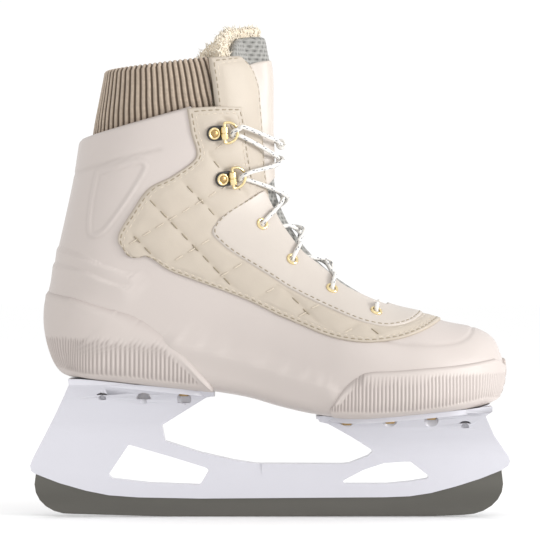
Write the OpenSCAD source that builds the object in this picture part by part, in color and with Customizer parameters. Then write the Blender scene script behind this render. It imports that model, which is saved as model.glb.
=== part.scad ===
// Lace-up recreational ice skate for the right foot: a moulded boot on a plastic blade holder
// with a steel runner. The toe points along +X, the outer (lateral) side faces -Y and +Z is up.
// The origin is the middle of the runner's lower edge. All sizes are in millimetres.

/* [Runner] */
// Thickness of the steel runner
runner_t = 3; // [2.5:0.1:3.6]
// Depth of the slot that the runner sits in
slot_depth = 7; // [4:0.5:8]

/* [Blade holder] */
// Width of the holder along its lower beam
beam_w = 13; // [11:0.5:15]
// Width of the front flange that is riveted to the sole
flange_w = 60; // [54:1:64]
// Width of the rear flange
rear_flange_w = 54; // [48:1:56]
// Thickness of the flanges
flange_t = 3.4; // [2.6:0.1:4]
// Diameter of the rivet shanks
rivet_d = 4.4; // [3.6:0.1:5]
// Diameter of the rivet heads
rivet_head_d = 7; // [6:0.1:8]
// Sideways distance from the middle to the rear rivets
rear_rivet_y = 18; // [16:0.5:20]
// Sideways distance from the middle to the front rivets
front_rivet_y = 22; // [18:0.5:24]
// Diameter of the bolts that pull the runner up into its slot
bolt_d = 5; // [4:0.5:6]

/* [Boot] */
// Half width of the boot at the ball of the foot
ball_half_w = 49; // [46:0.5:52]
// Half width of the boot at the heel
heel_half_w = 35.5; // [33:0.5:38]
// Half width of the boot at the top of the shaft
shaft_half_w = 42.5; // [39:0.5:45]
// Thickness of the moulded shell
shell_t = 3; // [2.4:0.1:3.2]
// Thickness of the padded liner
liner_t = 4; // [3:0.5:5]
// Thickness of the padded tongue
tongue_t = 4.5; // [3:0.5:5]
// Thickness of the stitched leather panels
leather_t = 1.6; // [1.2:0.1:2]

/* [Lacing] */
// Diameter of the round lace
lace_d = 2.8; // [2.2:0.1:3]
// Outer diameter of the eyelets
eyelet_d = 9; // [8:0.5:10]
// Hole through the eyelets
eyelet_hole_d = 4.6; // [3.4:0.1:5]
// Thickness of the wire in the hinged rings
ring_wire_d = 1.8; // [1.4:0.1:2]
// Inner width of the hinged rings, along their hinge
ring_w = 10.6; // [9:0.2:12]
// Reach of the hinged rings in front of their hinge
ring_reach = 8.2; // [7:0.2:10]

/* [Hidden] */
$fn = 48;
gap = 0.3;
far = 200;

// ---- Form of the boot ----
// One row per cross section, from the toe tip round the instep to the top of the collar:
// lower or rear end (x, z), upper or front end (x, z), half width as a share of the nearest
// driving width, and sideways shift of the section.
FORM = [
    [138.6, 73.5, 140.0, 101.5, 0, 5],
    [137.6, 71.2, 138.6, 105, 0.20, 5],
    [135, 69.6, 136, 109, 0.39, 4.6],
    [130.5, 68.2, 130.5, 113, 0.56, 4.2],
    [123, 67, 122, 116.2, 0.72, 3.6],
    [111, 65.8, 108, 118.9, 0.865, 2.6],
    [96, 64.4, 91.5, 123.3, 0.96, 1.4],
    [78, 62.6, 76, 127, 1, 0.4],
    [60, 61.2, 62, 133, 1, -0.4],
    [42, 61.2, 49, 140.3, 0.96, -1],
    [24, 63.7, 38, 148, 0.89, -1.2],
    [6, 67.8, 28, 157, 0.83, -1],
    [-13, 73.2, 19.5, 166.5, 0.785, -0.6],
    [-34, 76.8, 12.5, 176.5, 0.755, -0.3],
    [-56, 79.1, 7.5, 185.5, 0.74, 0],
    [-78, 81.2, 4, 193.5, 0.735, 0],
    [-98, 83.3, 2.4, 200, 0.73, 0],
    [-112, 84.8, 1.6, 205, 0.727, 0],
    [-121.5, 86.2, 1.1, 209.5, 0.725, 0],
    [-129, 92.5, 0.7, 213.5, 0.727, 0],
    [-133.8, 103, 0.4, 217.5, 0.73, 0],
    [-136.6, 116, 0.1, 221, 0.74, 0],
    [-136.6, 129, -0.3, 224.5, 0.75, 0],
    [-133.9, 142, -0.8, 228, 0.765, 0],
    [-129.8, 160, -1.4, 233, 0.79, 0],
    [-124.8, 182, -2, 239.5, 0.82, 0],
    [-119.9, 205, -2.8, 248, 0.85, 0],
    [-116.6, 226, -3.8, 259, 0.867, 0],
    [-114.5, 240, -5, 266, 0.872, 0],
    [-111.5, 256, -7, 274, 0.875, 0],
    [-109, 270, -9.5, 281, 0.875, 0],
    [-107.5, 281, -12.5, 290, 0.875, 0],
    [-106, 290, -16.5, 297.5, 0.87, 0]
];
// Share of each section below its widest place, by section number
WIDEST = [[0, 0.42], [6, 0.36], [12, 0.32], [18, 0.42], [24, 0.47]];
// Squareness of the lower or rear part and of the upper or front part of each section
LOWER_POWER = [[0, 2.6], [4, 4.5], [12, 6], [17, 6.5], [19, 3.5], [22, 2.5], [30, 2.4]];
UPPER_POWER = [[0, 2.2], [6, 2.1], [12, 1.9], [20, 2.1], [27, 2.4]];
toe_bow = 3.5;
toe_end = 7;

function mix(a, b, k) = a + (b - a) * k;
function spline(p, i, k) =
    let (n = len(p) - 1, a = p[max(i - 1, 0)], b = p[i], c = p[i + 1], d = p[min(i + 2, n)])
    b + k / 2 * ((c - a) + k * ((2 * a - 5 * b + 4 * c - d) + k * (3 * b - a - 3 * c + d)));
function along(p, s) = let (i = max(0, min(floor(s), len(p) - 2))) spline(p, i, s - i);
// The toe is round because the curve goes on past its tip as a mirror image of itself
TIP = concat([[for (i = [0:5]) FORM[1][i] * (i == 4 ? -1 : 1)]], [for (i = [0:2]) FORM[i]]);
function section(s) = s < 1 ? along(TIP, s + 1) : along(FORM, s);
function half_width(s, share) =
    share * ball_half_w
    + (heel_half_w / 0.725 - ball_half_w) * lookup(s, [[12, 0], [17, 0.725], [22, 0]])
    + (shaft_half_w - ball_half_w * 0.867) * lookup(s, [[22, 0], [27, 1]]);

// A point of the form: section s, angle q round the section from its lower or rear end
// (0) to its upper or front end (180), negative on the lateral side, pushed out by off
function form(s, q, off = 0) =
    let (
        r = section(s),
        e = section(s + 0.05),
        a = [r[0], r[1]],
        b = [r[2], r[3]],
        long = norm(b - a),
        d = (b - a) / long,
        ahead = (r[0] + r[2] - e[0] - e[2]) / 2,
        wider = (e[4] - r[4]) * ball_half_w,
        toe = s < toe_end ? wider / norm([ahead, wider]) : 0,
        side = s == 0 ? 0 : sqrt(1 - toe * toe),
        w = half_width(s, r[4]) + off * side,
        m = lookup(s, WIDEST),
        qa = min(abs(q), 180),
        n = 2 / lookup(s, qa < 90 ? LOWER_POWER : UPPER_POWER),
        c = pow(abs(cos(qa)), n),
        t = qa < 90 ? m * (1 - c) : m + (1 - m) * c,
        y = w * pow(max(sin(qa), 0), n) * sign(q),
        out = off * toe + toe_bow * max(0, 1 - s / 5) * 4 * t * (1 - t),
        p = a - d * off + d * (long + 2 * off) * t + [d[1], -d[0]] * out
    )
    [p[0], y + r[5], p[1]];

// Section number and angle of the point of the form seen at (x, z) from the side
function ahead_of(p, s) =
    let (r = along(FORM, s), a = [r[0], r[1]], b = [r[2], r[3]])
    (b[0] - a[0]) * (p[1] - a[1]) - (b[1] - a[1]) * (p[0] - a[0]);
function find_s(p, lo = 1, hi = 30, n = 16) =
    n == 0 ? (lo + hi) / 2
    : let (m = (lo + hi) / 2) ahead_of(p, m) > 0 ? find_s(p, m, hi, n - 1) : find_s(p, lo, m, n - 1);
function find_q(p, s) =
    let (
        r = along(FORM, s),
        a = [r[0], r[1]],
        b = [r[2], r[3]],
        t = max(0, min(1, ((p - a) * (b - a)) / ((b - a) * (b - a)))),
        m = lookup(s, WIDEST)
    )
    t < m ? acos(pow(1 - t / m, lookup(s, LOWER_POWER) / 2))
    : 180 - acos(pow((t - m) / (1 - m), lookup(s, UPPER_POWER) / 2));
function spot(p) = let (s = find_s(p)) [s, find_q(p, s)];

// ---- Sheets that lie on the form ----
// A sheet is a grid of [s, q] places. Its rows run from one edge to the other.
function strip(lower, upper, n, fine = 2) =
    let (
        lo = [for (p = lower) spot(p)],
        hi = [for (p = upper) spot(p)],
        m = (len(lower) - 1) * fine
    )
    [for (i = [0:m]) let (a = along(lo, i / fine), b = along(hi, i / fine))
        [for (j = [0:n]) mix(a, b, j / n)]];
function mirrored(rows) = [for (r = rows) [for (p = r) [p[0], -p[1]]]];
function lift(off, p) =
    is_function(off) ? off(p[0], p[1]) : is_list(off) ? lookup(abs(p[1]), off) : off;
function flat_list(l) = [for (r = l) for (p = r) p];

// Closed solid between two depths of the form. Columns that meet at the top centre line are
// left joined there, which closes the toe.
module sheet(rows, inner, outer, flip = false) {
    m = len(rows);
    n = len(rows[0]);
    size = m * n;
    top = flat_list([for (r = rows) [for (p = r) form(p[0], p[1], lift(outer, p))]]);
    low = flat_list([for (r = rows) [for (p = r) form(p[0], p[1], lift(inner, p))]]);
    function quad(a, b, c, d) = [[a, b, c], [a, c, d]];
    skin = [for (i = [0:m - 2]) for (j = [0:n - 2])
        let (a = i * n + j, b = a + 1, c = a + n + 1, d = a + n) quad(a, d, c, b)];
    back = [for (f = skin) [for (t = f) [size + t[0], size + t[2], size + t[1]]]];
    function open(i, j) = abs(rows[i][j][1]) < 179.9 || abs(rows[i + 1][j][1]) < 179.9;
    sides = [for (i = [0:m - 2]) for (j = [0, n - 1]) if (open(i, j))
        let (a = i * n + j, d = a + n)
        j == 0 ? quad(a, size + a, size + d, d) : quad(d, size + d, size + a, a)];
    function real(i, j) = norm(top[i * n + j] - top[i * n + j + 1]) > 0.01;
    folded = norm(top[1] - top[n - 2]) < 0.01;
    ends = [for (i = [0, m - 1]) for (j = [0:n - 2]) if (real(i, j) && !(i == 0 && folded))
        let (a = i * n + j, b = a + 1)
        i == 0 ? quad(b, size + b, size + a, a) : quad(a, size + a, size + b, b)];
    faces = flat_list(concat(skin, back, sides, ends));
    polyhedron(concat(top, low), flip ? faces : [for (f = faces) [f[2], f[1], f[0]]]);
}

// ---- Side-view outlines, from the top of the shaft down and forward to the toe ----
QUARTER_REAR = [[-50, 247], [-47.5, 233], [-44.5, 218], [-58, 207], [-73, 199], [-83, 185],
    [-91, 171], [-88, 163], [-68, 155], [-30, 138.5], [11, 120.5], [41, 109], [63, 107],
    [85, 111], [98, 116.6]];
QUARTER_FRONT = [[-17.5, 248.5], [-15, 236], [-12.8, 219], [-11, 209], [-8.8, 196.5], [-28.4, 184.8],
    [-36.2, 174.4], [-30.6, 165.8], [-19.4, 157.4], [8, 140], [35, 126.4], [58.5, 117.4],
    [74, 115.4], [86, 118.8], [91, 121.8]];
STAY_REAR = [[-8, 195.5], [-9, 191.5], [-26.5, 183], [-34.2, 174], [-28.5, 166.6], [-18, 158.2],
    [9, 141.2], [36, 127.4], [59, 118.4], [74, 116.6], [86.5, 119.8]];
STAY_FRONT = [[-4.5, 198], [-1.6, 192.7], [2.2, 185.2], [7, 176.6], [15.8, 164.5], [21, 158.8],
    [34, 148.6], [44, 140.2], [57.5, 133.6], [76, 126], [88.6, 123.6]];
FLAP_REAR = [[-35.8, 278], [-35, 271], [-33.5, 262], [-32, 250], [-30, 236], [-25, 215],
    [-17, 198], [-6, 187.5]];
FLAP_FRONT = [[-17, 279.6], [-9.8, 271.6], [-6.4, 262], [-5.2, 250], [-4, 236], [-2.6, 215],
    [-0.6, 199], [1, 188.5]];
HEEL_TOP = [[-34.4, 79.6], [-45, 91.7], [-55, 102.4], [-64, 110.3], [-80.5, 121.8], [-102, 128.3],
    [-120, 134]];
HEEL_FOOT = [[-33.6, 78.6], [-45, 79.6], [-55, 80.6], [-64, 81.6], [-80.5, 83.3], [-100, 85.6],
    [-114, 88]];
TOE_TOP = [[36, 67.3], [44, 78.9], [52.4, 86.3], [60, 89.2], [75, 90], [94.5, 91.5],
    [112, 93], [126, 95], [134, 96.5]];
TOE_FOOT = [[37.5, 63.4], [44, 62.8], [52.4, 62.8], [60, 63], [75, 64], [94.5, 66],
    [112, 67.5], [124, 69], [132, 71]];

module boot_shell() {
    last = 27.2;
    steps = concat([for (i = [0:10]) i * i / 25], [for (i = [10:54]) i * last / 54]);
    edge = [[0, 180], [5.6, 180], [6.6, 142], [8, 127], [9.3, 121], [11.5, 117], [14.7, 112],
        [19.5, 104], [22, 99], [23.5, 105], [24.9, 115], [26.1, 111], [last, 102]];
    half = 13;
    rows = [for (s = steps) [for (j = [-half:half]) [s, lookup(s, edge) * j / half]]];
    color([0.84, 0.80, 0.78])
        difference() {
            sheet(rows, -shell_t, 0);
            rivet_shafts(rivet_d + gap);
            bolt_shafts(nut_d + 4 * gap, sole_z(front_bolt_x) - 20, 60);
        }
}

module heel_bumper() {
    side = strip(HEEL_FOOT, HEEL_TOP, 4, 3);
    n = len(side);
    back_rows = [for (k = [0:7]) let (f = k / 8)
        [for (j = [0:4]) let (a = side[n - 1][j], b = [mix(18.6, 22.7, j / 4), 0])
            [mix(a[0], b[0], sin(90 * f)), a[1] * (1 - f)]]];
    half = concat([for (i = [0:n - 2]) side[i]], back_rows);
    middle = [for (j = [0:4]) [mix(18.6, 22.7, j / 4), 0.01]];
    other = mirrored(half);
    rows = concat(half, [middle], [for (i = [len(other) - 1:-1:0]) other[i]]);
    color([0.80, 0.76, 0.74]) sheet(rows, 2 * gap, 1.5, true);
}

module toe_bumper() {
    side = strip(TOE_FOOT, TOE_TOP, 4, 2);
    n = len(side);
    tips = [for (s = [1.7, 1.4, 1.1, 0.8, 0.5, 0.2]) [for (j = [0:4])
        let (q = side[n - 1][j][1]) [s, q]]];
    tip = [for (j = [0:4]) [0, side[n - 1][j][1]]];
    half = concat(side, tips);
    other = mirrored(half);
    rows = concat(half, [tip], [for (i = [len(other) - 1:-1:0]) other[i]]);
    color([0.86, 0.82, 0.80]) sheet(rows, 2 * gap, 1.5, true);
}

liner_off = shell_t + 1;
module liner() {
    edge = [[0, 180], [7, 180], [8.2, 134], [30, 134]];
    steps = concat([0, 0.25, 0.7, 1.4, 2.4, 3.5], [for (i = [5:26]) i], [26.4]);
    half = 10;
    rows = [for (s = steps) [for (j = [-half:half]) [s, lookup(s, edge) * j / half]]];
    color([0.93, 0.90, 0.84])
        difference() {
            sheet(rows, -liner_off - liner_t, -liner_off);
            for (xs = [REAR_RIVETS, FRONT_RIVETS], y = [rivet_y(xs)]) rivet_rows(xs, y)
                translate([0, 0, shell_t - 1]) cylinder(d = washer_d + 1.4, h = washer_lift + 3.4);
        }
}

// ---- Panels of the upper ----
module side_panel(rear, front, n, fine, inner, outer, side) {
    rows = strip(rear, front, n, fine);
    sheet(side < 0 ? mirrored(rows) : rows, inner, outer, side > 0);
}
module quarter(side) {
    color([0.91, 0.87, 0.81])
        side_panel(QUARTER_REAR, QUARTER_FRONT, 6, 2, gap, leather_t + gap, side);
}
module eyestay(side) {
    color([0.95, 0.92, 0.89])
        difference() {
            side_panel(STAY_REAR, STAY_FRONT, 4, 2, gap, leather_t + gap, side);
            for (i = [0:3]) on_form(EYELETS[i], side) cylinder(d = eyelet_d - 1.6, h = 12, center = true);
        }
}
flap_off = 0.9;
module collar_flap(side) {
    color([0.92, 0.88, 0.82])
        side_panel(FLAP_REAR, FLAP_FRONT, 5, 2, -flap_off - leather_t, -flap_off, side);
}
module knit_cuff() {
    outer = [[0, -8.5], [60, -6], [113, -3.6]];
    inner = [for (k = outer) [k[0], k[1] - 6]];
    steps = [26.85, 27.4, 28, 28.6, 29.2, 29.7, 30];
    half = 11;
    rows = [for (s = steps) [for (j = [-half:half]) [s, 113 * j / half]]];
    color([0.72, 0.66, 0.58]) sheet(rows, inner, outer);
}

// ---- Tongue ----
// The tongue follows the inside of the form and swells forward between the two flaps. Its places
// are given by the angle v from the middle of the instep, negative on the lateral side.
tongue_depth = 3.6;
tongue_edge = 16;
tongue_half = 40;
// Swelling in front of the form, by section number
SWELLING = [[8, -0.4], [13, 0], [16, 1], [20, 2], [24, 3], [26, 4.2], [28, 6.2], [30, 8.4],
    [31, 9.6], [32, 9]];
function from_middle(v) = (v < 0 ? -1 : 1) * (180 - abs(v));
function tongue_skin(s, q) =
    let (w = max(0, 1 - pow((180 - abs(q)) / tongue_edge, 2)))
    -tongue_depth + (tongue_depth + lookup(s, SWELLING)) * w * w;
// A layer of the tongue between two heights above its skin
module tongue_layer(steps, half, n, low, high) {
    rows = [for (s = steps) [for (j = [-n:n]) [s, from_middle(half * j / n)]]];
    sheet(rows, function (s, q) tongue_skin(s, q) + low, function (s, q) tongue_skin(s, q) + high,
        true);
}
module tongue() {
    color([0.60, 0.60, 0.58])
        tongue_layer([for (s = [8.4:0.8:31.3]) s], tongue_half, 10, -tongue_t, 0);
}
module tongue_patch() {
    color([0.93, 0.90, 0.84]) tongue_layer([for (s = [17:0.8:29.4]) s], 14.5, 5, 0.4, 1.3);
}
module tongue_fur() {
    color([0.98, 0.96, 0.90])
        tongue_layer([for (s = [25:0.7:32]) s], tongue_half, 8, -tongue_t - gap - 4, -tongue_t - gap);
}

// ---- Sole build-up ----
function sole_z(x) =
    lookup(-x, [for (i = [2:17]) [-FORM[i][0], FORM[i][1]]]);
// Plate that follows the inside of the sole, [x, half width] per row
PLATE = [[115, 14], [108, 23], [98, 29.5], [82, 33], [62, 33.5], [44, 31], [26, 27.5], [8, 24.5],
    [-12, 22.5], [-34, 21.5], [-56, 21], [-78, 21], [-94, 20], [-106, 16], [-113, 8]];
// Closed solid between two grids of points
module slab(front, back) {
    m = len(front);
    n = len(front[0]);
    size = m * n;
    function quad(a, b, c, d) = [[a, b, c], [a, c, d]];
    skin = [for (i = [0:m - 2]) for (j = [0:n - 2])
        let (a = i * n + j, b = a + 1, c = a + n + 1, d = a + n) quad(a, b, c, d)];
    rear = [for (f = skin) [for (t = f) [size + t[0], size + t[2], size + t[1]]]];
    sides = [for (i = [0:m - 2]) for (j = [0, n - 1])
        let (a = i * n + j, d = a + n)
        j == 0 ? quad(a, d, size + d, size + a) : quad(d, a, size + a, size + d)];
    ends = [for (i = [0, m - 1]) for (j = [0:n - 2])
        let (a = i * n + j, b = a + 1)
        i == 0 ? quad(b, a, size + a, size + b) : quad(a, b, size + b, size + a)];
    faces = flat_list(concat(skin, rear, sides, ends));
    polyhedron(concat(flat_list(front), flat_list(back)), faces);
}
module plate(from, to, narrower) {
    function ring(r, d) = [for (j = [-2:2]) [r[0], (r[1] - narrower) * j / 2, sole_z(r[0]) + d]];
    slab([for (r = PLATE) ring(r, from)], [for (r = PLATE) ring(r, to)]);
}
board_z = liner_off + liner_t + 1.6;
module insole_board() {
    color([0.55, 0.45, 0.33])
        difference() {
            plate(board_z, board_z + 2, 0);
            bolt_shafts(nut_d + 4 * gap, 60, 60);
        }
}
module footbed() {
    color([0.35, 0.35, 0.36]) plate(board_z + 2 + gap, board_z + 6, 1);
}

// ---- Runner and blade holder, drawn as side views and spread across the middle ----
module side_view(width) {
    rotate([90, 0, 0]) linear_extrude(height = width, center = true) children();
}
nut_d = 9;
fork_d = 8.6;
front_bolt_x = 112;
rear_bolt_x = -112;
bolt_x = [rear_bolt_x, front_bolt_x];
lug_z = 24;
nut_z = 44;
REAR_RIVETS = [-101.5, -76.5, -52];
FRONT_RIVETS = [46.5, 72.5, 97.5, 118];

module runner_outline(top) {
    polygon(concat(
        [for (k = [0:6]) let (a = 90 * k / 6) [-120 - 23.6 * sin(a), 21 - 19.4 * cos(a) - 1.4 * sin(a)]],
        [[-142.8, 26], [-128, 20.8 + top], [-112, 16.6 + top], [-98, 13.6 + top], [-80, 12 + top],
            [-42, 11.3 + top], [43, 11.7 + top], [70, 12 + top], [85, 12.8 + top],
            [98, 14.8 + top], [113, 18.8 + top], [128, 23.6 + top], [141.2, 28.8]],
        [for (k = [6:-1:0]) let (a = 90 * k / 6) [118 + 24.2 * sin(a), 20 - 19 * cos(a)]],
        [[100, 0.3], [60, 0], [-60, 0], [-95, 0.8]]
    ));
}
module runner() {
    color([0.50, 0.49, 0.46])
        union() {
            side_view(runner_t) runner_outline(slot_depth - 4);
            for (x = bolt_x) translate([x, 0, lug_z]) cube([12, runner_t, 12], center = true);
        }
}

module tower_edges() {
    polygon([[-122, 86], [-121.3, 81], [-130.3, 62.5], [-144.4, 35.4], [-145.9, 31.4],
        [-145.4, 28.2], [-143.2, 26.5], [-128, 20.6], [-112, 16], [-98, 13.2], [-80, 11.9],
        [-42, 11.2], [43, 11.6], [70, 12], [85, 12.6], [98, 14.6], [113, 18.6], [128, 23.4],
        [140.7, 28.5], [145, 31.4], [145.9, 34], [145, 37], [135.8, 50.1], [130.1, 62],
        [134, 65], [134, 68], [28, 62], [30, 58.5], [35, 57.3], [48.8, 49.4], [61.5, 41.2],
        [62.2, 39.4], [59.5, 37.2], [48.2, 32.8], [44, 32.4], [-8, 32.6], [-22, 34.7],
        [-43, 39.6], [-63.8, 46.3], [-65.8, 55.9], [-38.5, 73.1], [-34.3, 74], [-33.5, 76.5]]);
}
module windows() {
    offset(r = 1.6) offset(delta = -1.6) polygon([[-86, 44.2], [-98.4, 25.6], [-96, 23.4],
        [-74, 20.8], [-42.4, 19.6], [-37, 28.6], [-39.3, 30.2], [-60.4, 36.8]]);
    offset(r = 1.2) offset(delta = -1.2) polygon([[43, 21.4], [45, 20.3], [71, 20.3], [85, 21.6],
        [96, 23.4], [96.6, 25], [85.4, 33.8], [81.7, 33.8], [69.3, 32.9], [56.7, 28.7]]);
}
module tower_spread(top, waist) {
    w = flange_w / 2 - 2;
    half = [[w, top], [w, top - 5], [w * 0.62, top - 14], [w * 0.38, waist + 8],
        [beam_w / 2 + 2, waist], [beam_w / 2, 24], [beam_w / 2 - 1.6, 8]];
    rotate([90, 0, 90]) linear_extrude(height = 2 * far, center = true)
        polygon(concat(half, [for (i = [len(half) - 1:-1:0]) [-half[i][0], half[i][1]]]));
}
module flange(x0, x1, width, corner) {
    intersection() {
        side_view(2 * far)
            polygon(concat(
                [for (k = [0:12]) let (x = mix(x0, x1, k / 12)) [x, sole_z(x) - gap]],
                [for (k = [12:-1:0]) let (x = mix(x0, x1, k / 12)) [x, sole_z(x) - flange_t]]
            ));
        translate([0, 0, 40]) linear_extrude(height = 60)
            intersection() {
                translate([(x0 + x1) / 2, 0]) square([x1 - x0, width], center = true);
                hull() for (x = [x0 + corner, x1 - corner], y = [-1, 1])
                    translate([x, y * (width / 2 - corner)]) circle(r = corner);
            }
    }
}
module rivet_rows(xs, y) {
    for (x = xs, side = [-1, 1]) {
        reach = min(y, 10 + (134 - abs(x)) * 0.5);
        translate([x, side * reach, sole_z(x)]) children();
    }
}
function rivet_y(xs) = xs == REAR_RIVETS ? rear_rivet_y : front_rivet_y;
module rivet_shafts(d) {
    for (xs = [REAR_RIVETS, FRONT_RIVETS]) rivet_rows(xs, rivet_y(xs))
        cylinder(d = d, h = 24, center = true);
}
// Round pockets that the rivet heads sit in, under the flanges
pocket_h = 6;
module rivet_pockets() {
    for (xs = [REAR_RIVETS, FRONT_RIVETS]) rivet_rows(xs, rivet_y(xs))
        translate([0, 0, 0.4 - flange_t - pocket_h]) cylinder(d = rivet_head_d + 1.6, h = pocket_h);
}
module bolt_shafts(d, from, to) {
    for (x = bolt_x) translate([x, 0, from]) cylinder(d = d, h = to);
}
module blade_holder() {
    color([0.90, 0.90, 0.94])
        difference() {
            union() {
                difference() {
                    intersection() {
                        side_view(flange_w) difference() {
                            tower_edges();
                            translate([-34, sole_z(-34) - gap]) square([70, 40]);
                        }
                        union() {
                            intersection() {
                                tower_spread(86, 50);
                                translate([-150, -far, 0]) cube([145, 2 * far, 90]);
                            }
                            intersection() {
                                tower_spread(69, 38);
                                translate([-5, -far, 0]) cube([155, 2 * far, 90]);
                            }
                        }
                    }
                    side_view(far) windows();
                    side_view(far) polygon(concat([for (x = [-130:8:142]) [x, sole_z(x) - gap]],
                        [[142, 120], [-130, 120]]));
                }
                flange(-122, -33.5, rear_flange_w, 22);
                flange(28, 134, flange_w, 26);
            }
            side_view(runner_t + gap / 2) runner_outline(slot_depth - 3.7);
            for (x = bolt_x) translate([x, 0, lug_z + 1]) cube([13, runner_t + gap, 12], center = true);
            rivet_shafts(rivet_d + gap);
            rivet_pockets();
            bolt_shafts(bolt_d + gap, lug_z, 70);
            bolt_shafts(fork_d + gap, lug_z + 1.5, 9);
            bolt_shafts(nut_d + 3, nut_z, 60);
        }
}
washer_d = 8;
washer_lift = 1.6;
module rivets(xs) {
    head = -flange_t - 1.3;
    color([0.50, 0.37, 0.20]) rivet_rows(xs, rivet_y(xs)) {
        translate([0, 0, head]) cylinder(d1 = rivet_head_d - 2, d2 = rivet_head_d, h = 1.2);
        translate([0, 0, head + 1.2]) cylinder(d = rivet_head_d, h = 0.4);
        translate([0, 0, head + 1.4]) cylinder(d = rivet_d, h = shell_t + washer_lift - 0.3 - head);
    }
}
module washers(xs) {
    color([0.72, 0.70, 0.66]) rivet_rows(xs, rivet_y(xs))
        translate([0, 0, shell_t + washer_lift]) difference() {
            cylinder(d = washer_d, h = 0.8);
            translate([0, 0, -1]) cylinder(d = rivet_d + 0.2, h = 3);
        }
}
module runner_bolts() {
    color([0.62, 0.62, 0.64]) for (x = bolt_x) translate([x, 0, lug_z + 2])
        difference() {
            union() {
                cylinder(d = fork_d, h = 8);
                cylinder(d = bolt_d, h = 26);
            }
            translate([0, 0, 2]) cube([fork_d + 2, runner_t + gap, 9], center = true);
        }
}
module runner_nuts() {
    color([0.66, 0.66, 0.68]) for (x = bolt_x) translate([x, 0, nut_z + gap]) difference() {
        cylinder(d = nut_d, h = 5, $fn = 6);
        translate([0, 0, -1]) cylinder(d = bolt_d + 0.1, h = 8);
    }
}

// ---- Lacing hardware ----
// Places in the side view (x, z)
EYELETS = [[-5.5, 176.8], [13, 155.3], [37.2, 137.6], [64, 124]];
HOOKS = [[-34.6, 231.8], [-29.8, 204.2]];
// Place, outward direction, upward direction and forward direction on the form
function frame_at(p, side, off) =
    let (
        c = spot(p),
        q = c[1] * side,
        o = form(c[0], q, off),
        u = form(c[0], q + 0.5 * side, off) - o,
        v = form(c[0] + 0.05, q, off) - o,
        n0 = cross(u, v),
        n = n0 * sign(n0[1] * side) / norm(n0),
        z0 = [0, 0, 1] - n * n[2],
        z = z0 / norm(z0)
    )
    [o, n, z, cross(z, n) * -side];
// Turns a frame about its outward direction, so that its upward direction leans back
function leaning(f, a) =
    [f[0], f[1], f[2] * cos(a) - f[3] * sin(a), f[3] * cos(a) + f[2] * sin(a)];
function in_frame(f, x, y, z) = f[0] + f[3] * x + f[2] * y + f[1] * z;
module set_frame(f, side) {
    x = f[3] * -side;
    multmatrix([[x[0], f[2][0], f[1][0], f[0][0]], [x[1], f[2][1], f[1][1], f[0][1]],
        [x[2], f[2][2], f[1][2], f[0][2]], [0, 0, 0, 1]])
        mirror([side > 0 ? 1 : 0, 0, 0]) children();
}
module on_form(p, side, off = 0) {
    set_frame(frame_at(p, side, off), side) children();
}
module eyelets(side) {
    color([0.80, 0.68, 0.40]) for (p = EYELETS) on_form(p, side, leather_t + gap)
        difference() {
            union() {
                translate([0, 0, 0.55]) cylinder(d = eyelet_d, h = 0.7);
                translate([0, 0, -leather_t - 0.4]) cylinder(d = eyelet_d - 2.4, h = leather_t + 1);
            }
            cylinder(d = eyelet_hole_d, h = 12, center = true);
        }
}

// Hinged rings: a plate is riveted to the leather and carries a barrel along its front edge,
// and the straight side of a D-shaped wire ring turns in the barrel.
hook_lift = leather_t + 2 * gap;
barrel_d = 4.4;
barrel_l = 7.6;
barrel_x = 6;
barrel_z = 2.5;
ring_r = (ring_w + ring_wire_d) / 2;
hinge_play = 0.16;
ring_leg_d = ring_wire_d - 0.1;
hook_lean = [5, 9];
function hook_frame(i, side) = leaning(frame_at(HOOKS[i], side, hook_lift), hook_lean[i]);
module hook(i, side) {
    color([0.14, 0.13, 0.13]) set_frame(hook_frame(i, side), side)
        difference() {
            union() {
                hull() {
                    cylinder(d = 9.4, h = 1.2);
                    translate([barrel_x - 1, -barrel_l / 2, 0]) cube([1, barrel_l, 1.2]);
                }
                translate([barrel_x, barrel_l / 2, barrel_z]) rotate([90, 0, 0])
                    cylinder(d = barrel_d, h = barrel_l);
            }
            cylinder(d = 3, h = 9, center = true);
            translate([barrel_x, 10, barrel_z]) rotate([90, 0, 0])
                cylinder(d = ring_wire_d + hinge_play, h = 20);
        }
}
module hook_rivets() {
    color([0.83, 0.72, 0.45]) for (i = [0, 1], side = [-1, 1])
        set_frame(hook_frame(i, side), side) {
            translate([0, 0, 1.25]) difference() {
                cylinder(d = 7.4, h = 0.7);
                translate([0, 0, 0.35]) cylinder(d = 4.6, h = 1);
            }
            translate([0, 0, 0.1]) cylinder(d = 2.8, h = 1.3);
        }
}
module ring(i, side) {
    color([0.80, 0.70, 0.45]) set_frame(hook_frame(i, side), side)
        translate([barrel_x, 0, barrel_z]) {
            straight = ring_reach - ring_r;
            rotate([90, 0, 0])
                cylinder(d = ring_wire_d, h = 2 * ring_r + ring_wire_d, center = true);
            for (y = [-ring_r, ring_r])
                translate([0, y, 0]) rotate([0, 90, 0]) cylinder(d = ring_leg_d, h = straight);
            translate([straight, 0, 0]) rotate([0, 0, -90])
                rotate_extrude(angle = 180) translate([ring_r, 0]) circle(d = ring_leg_d);
        }
}

// ---- Lace ----
// Route of one half of the lace, from the middle of the lowest bar to the knot. The other half
// is its mirror image. Places are [x, z, off] on the form or [x, y, z] in front of the tongue.
knot_w = 8;
lace_depth = 1.8;
function seat(x, z, off, side) = let (c = spot([x, z])) form(c[0], c[1] * side, off);
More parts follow.
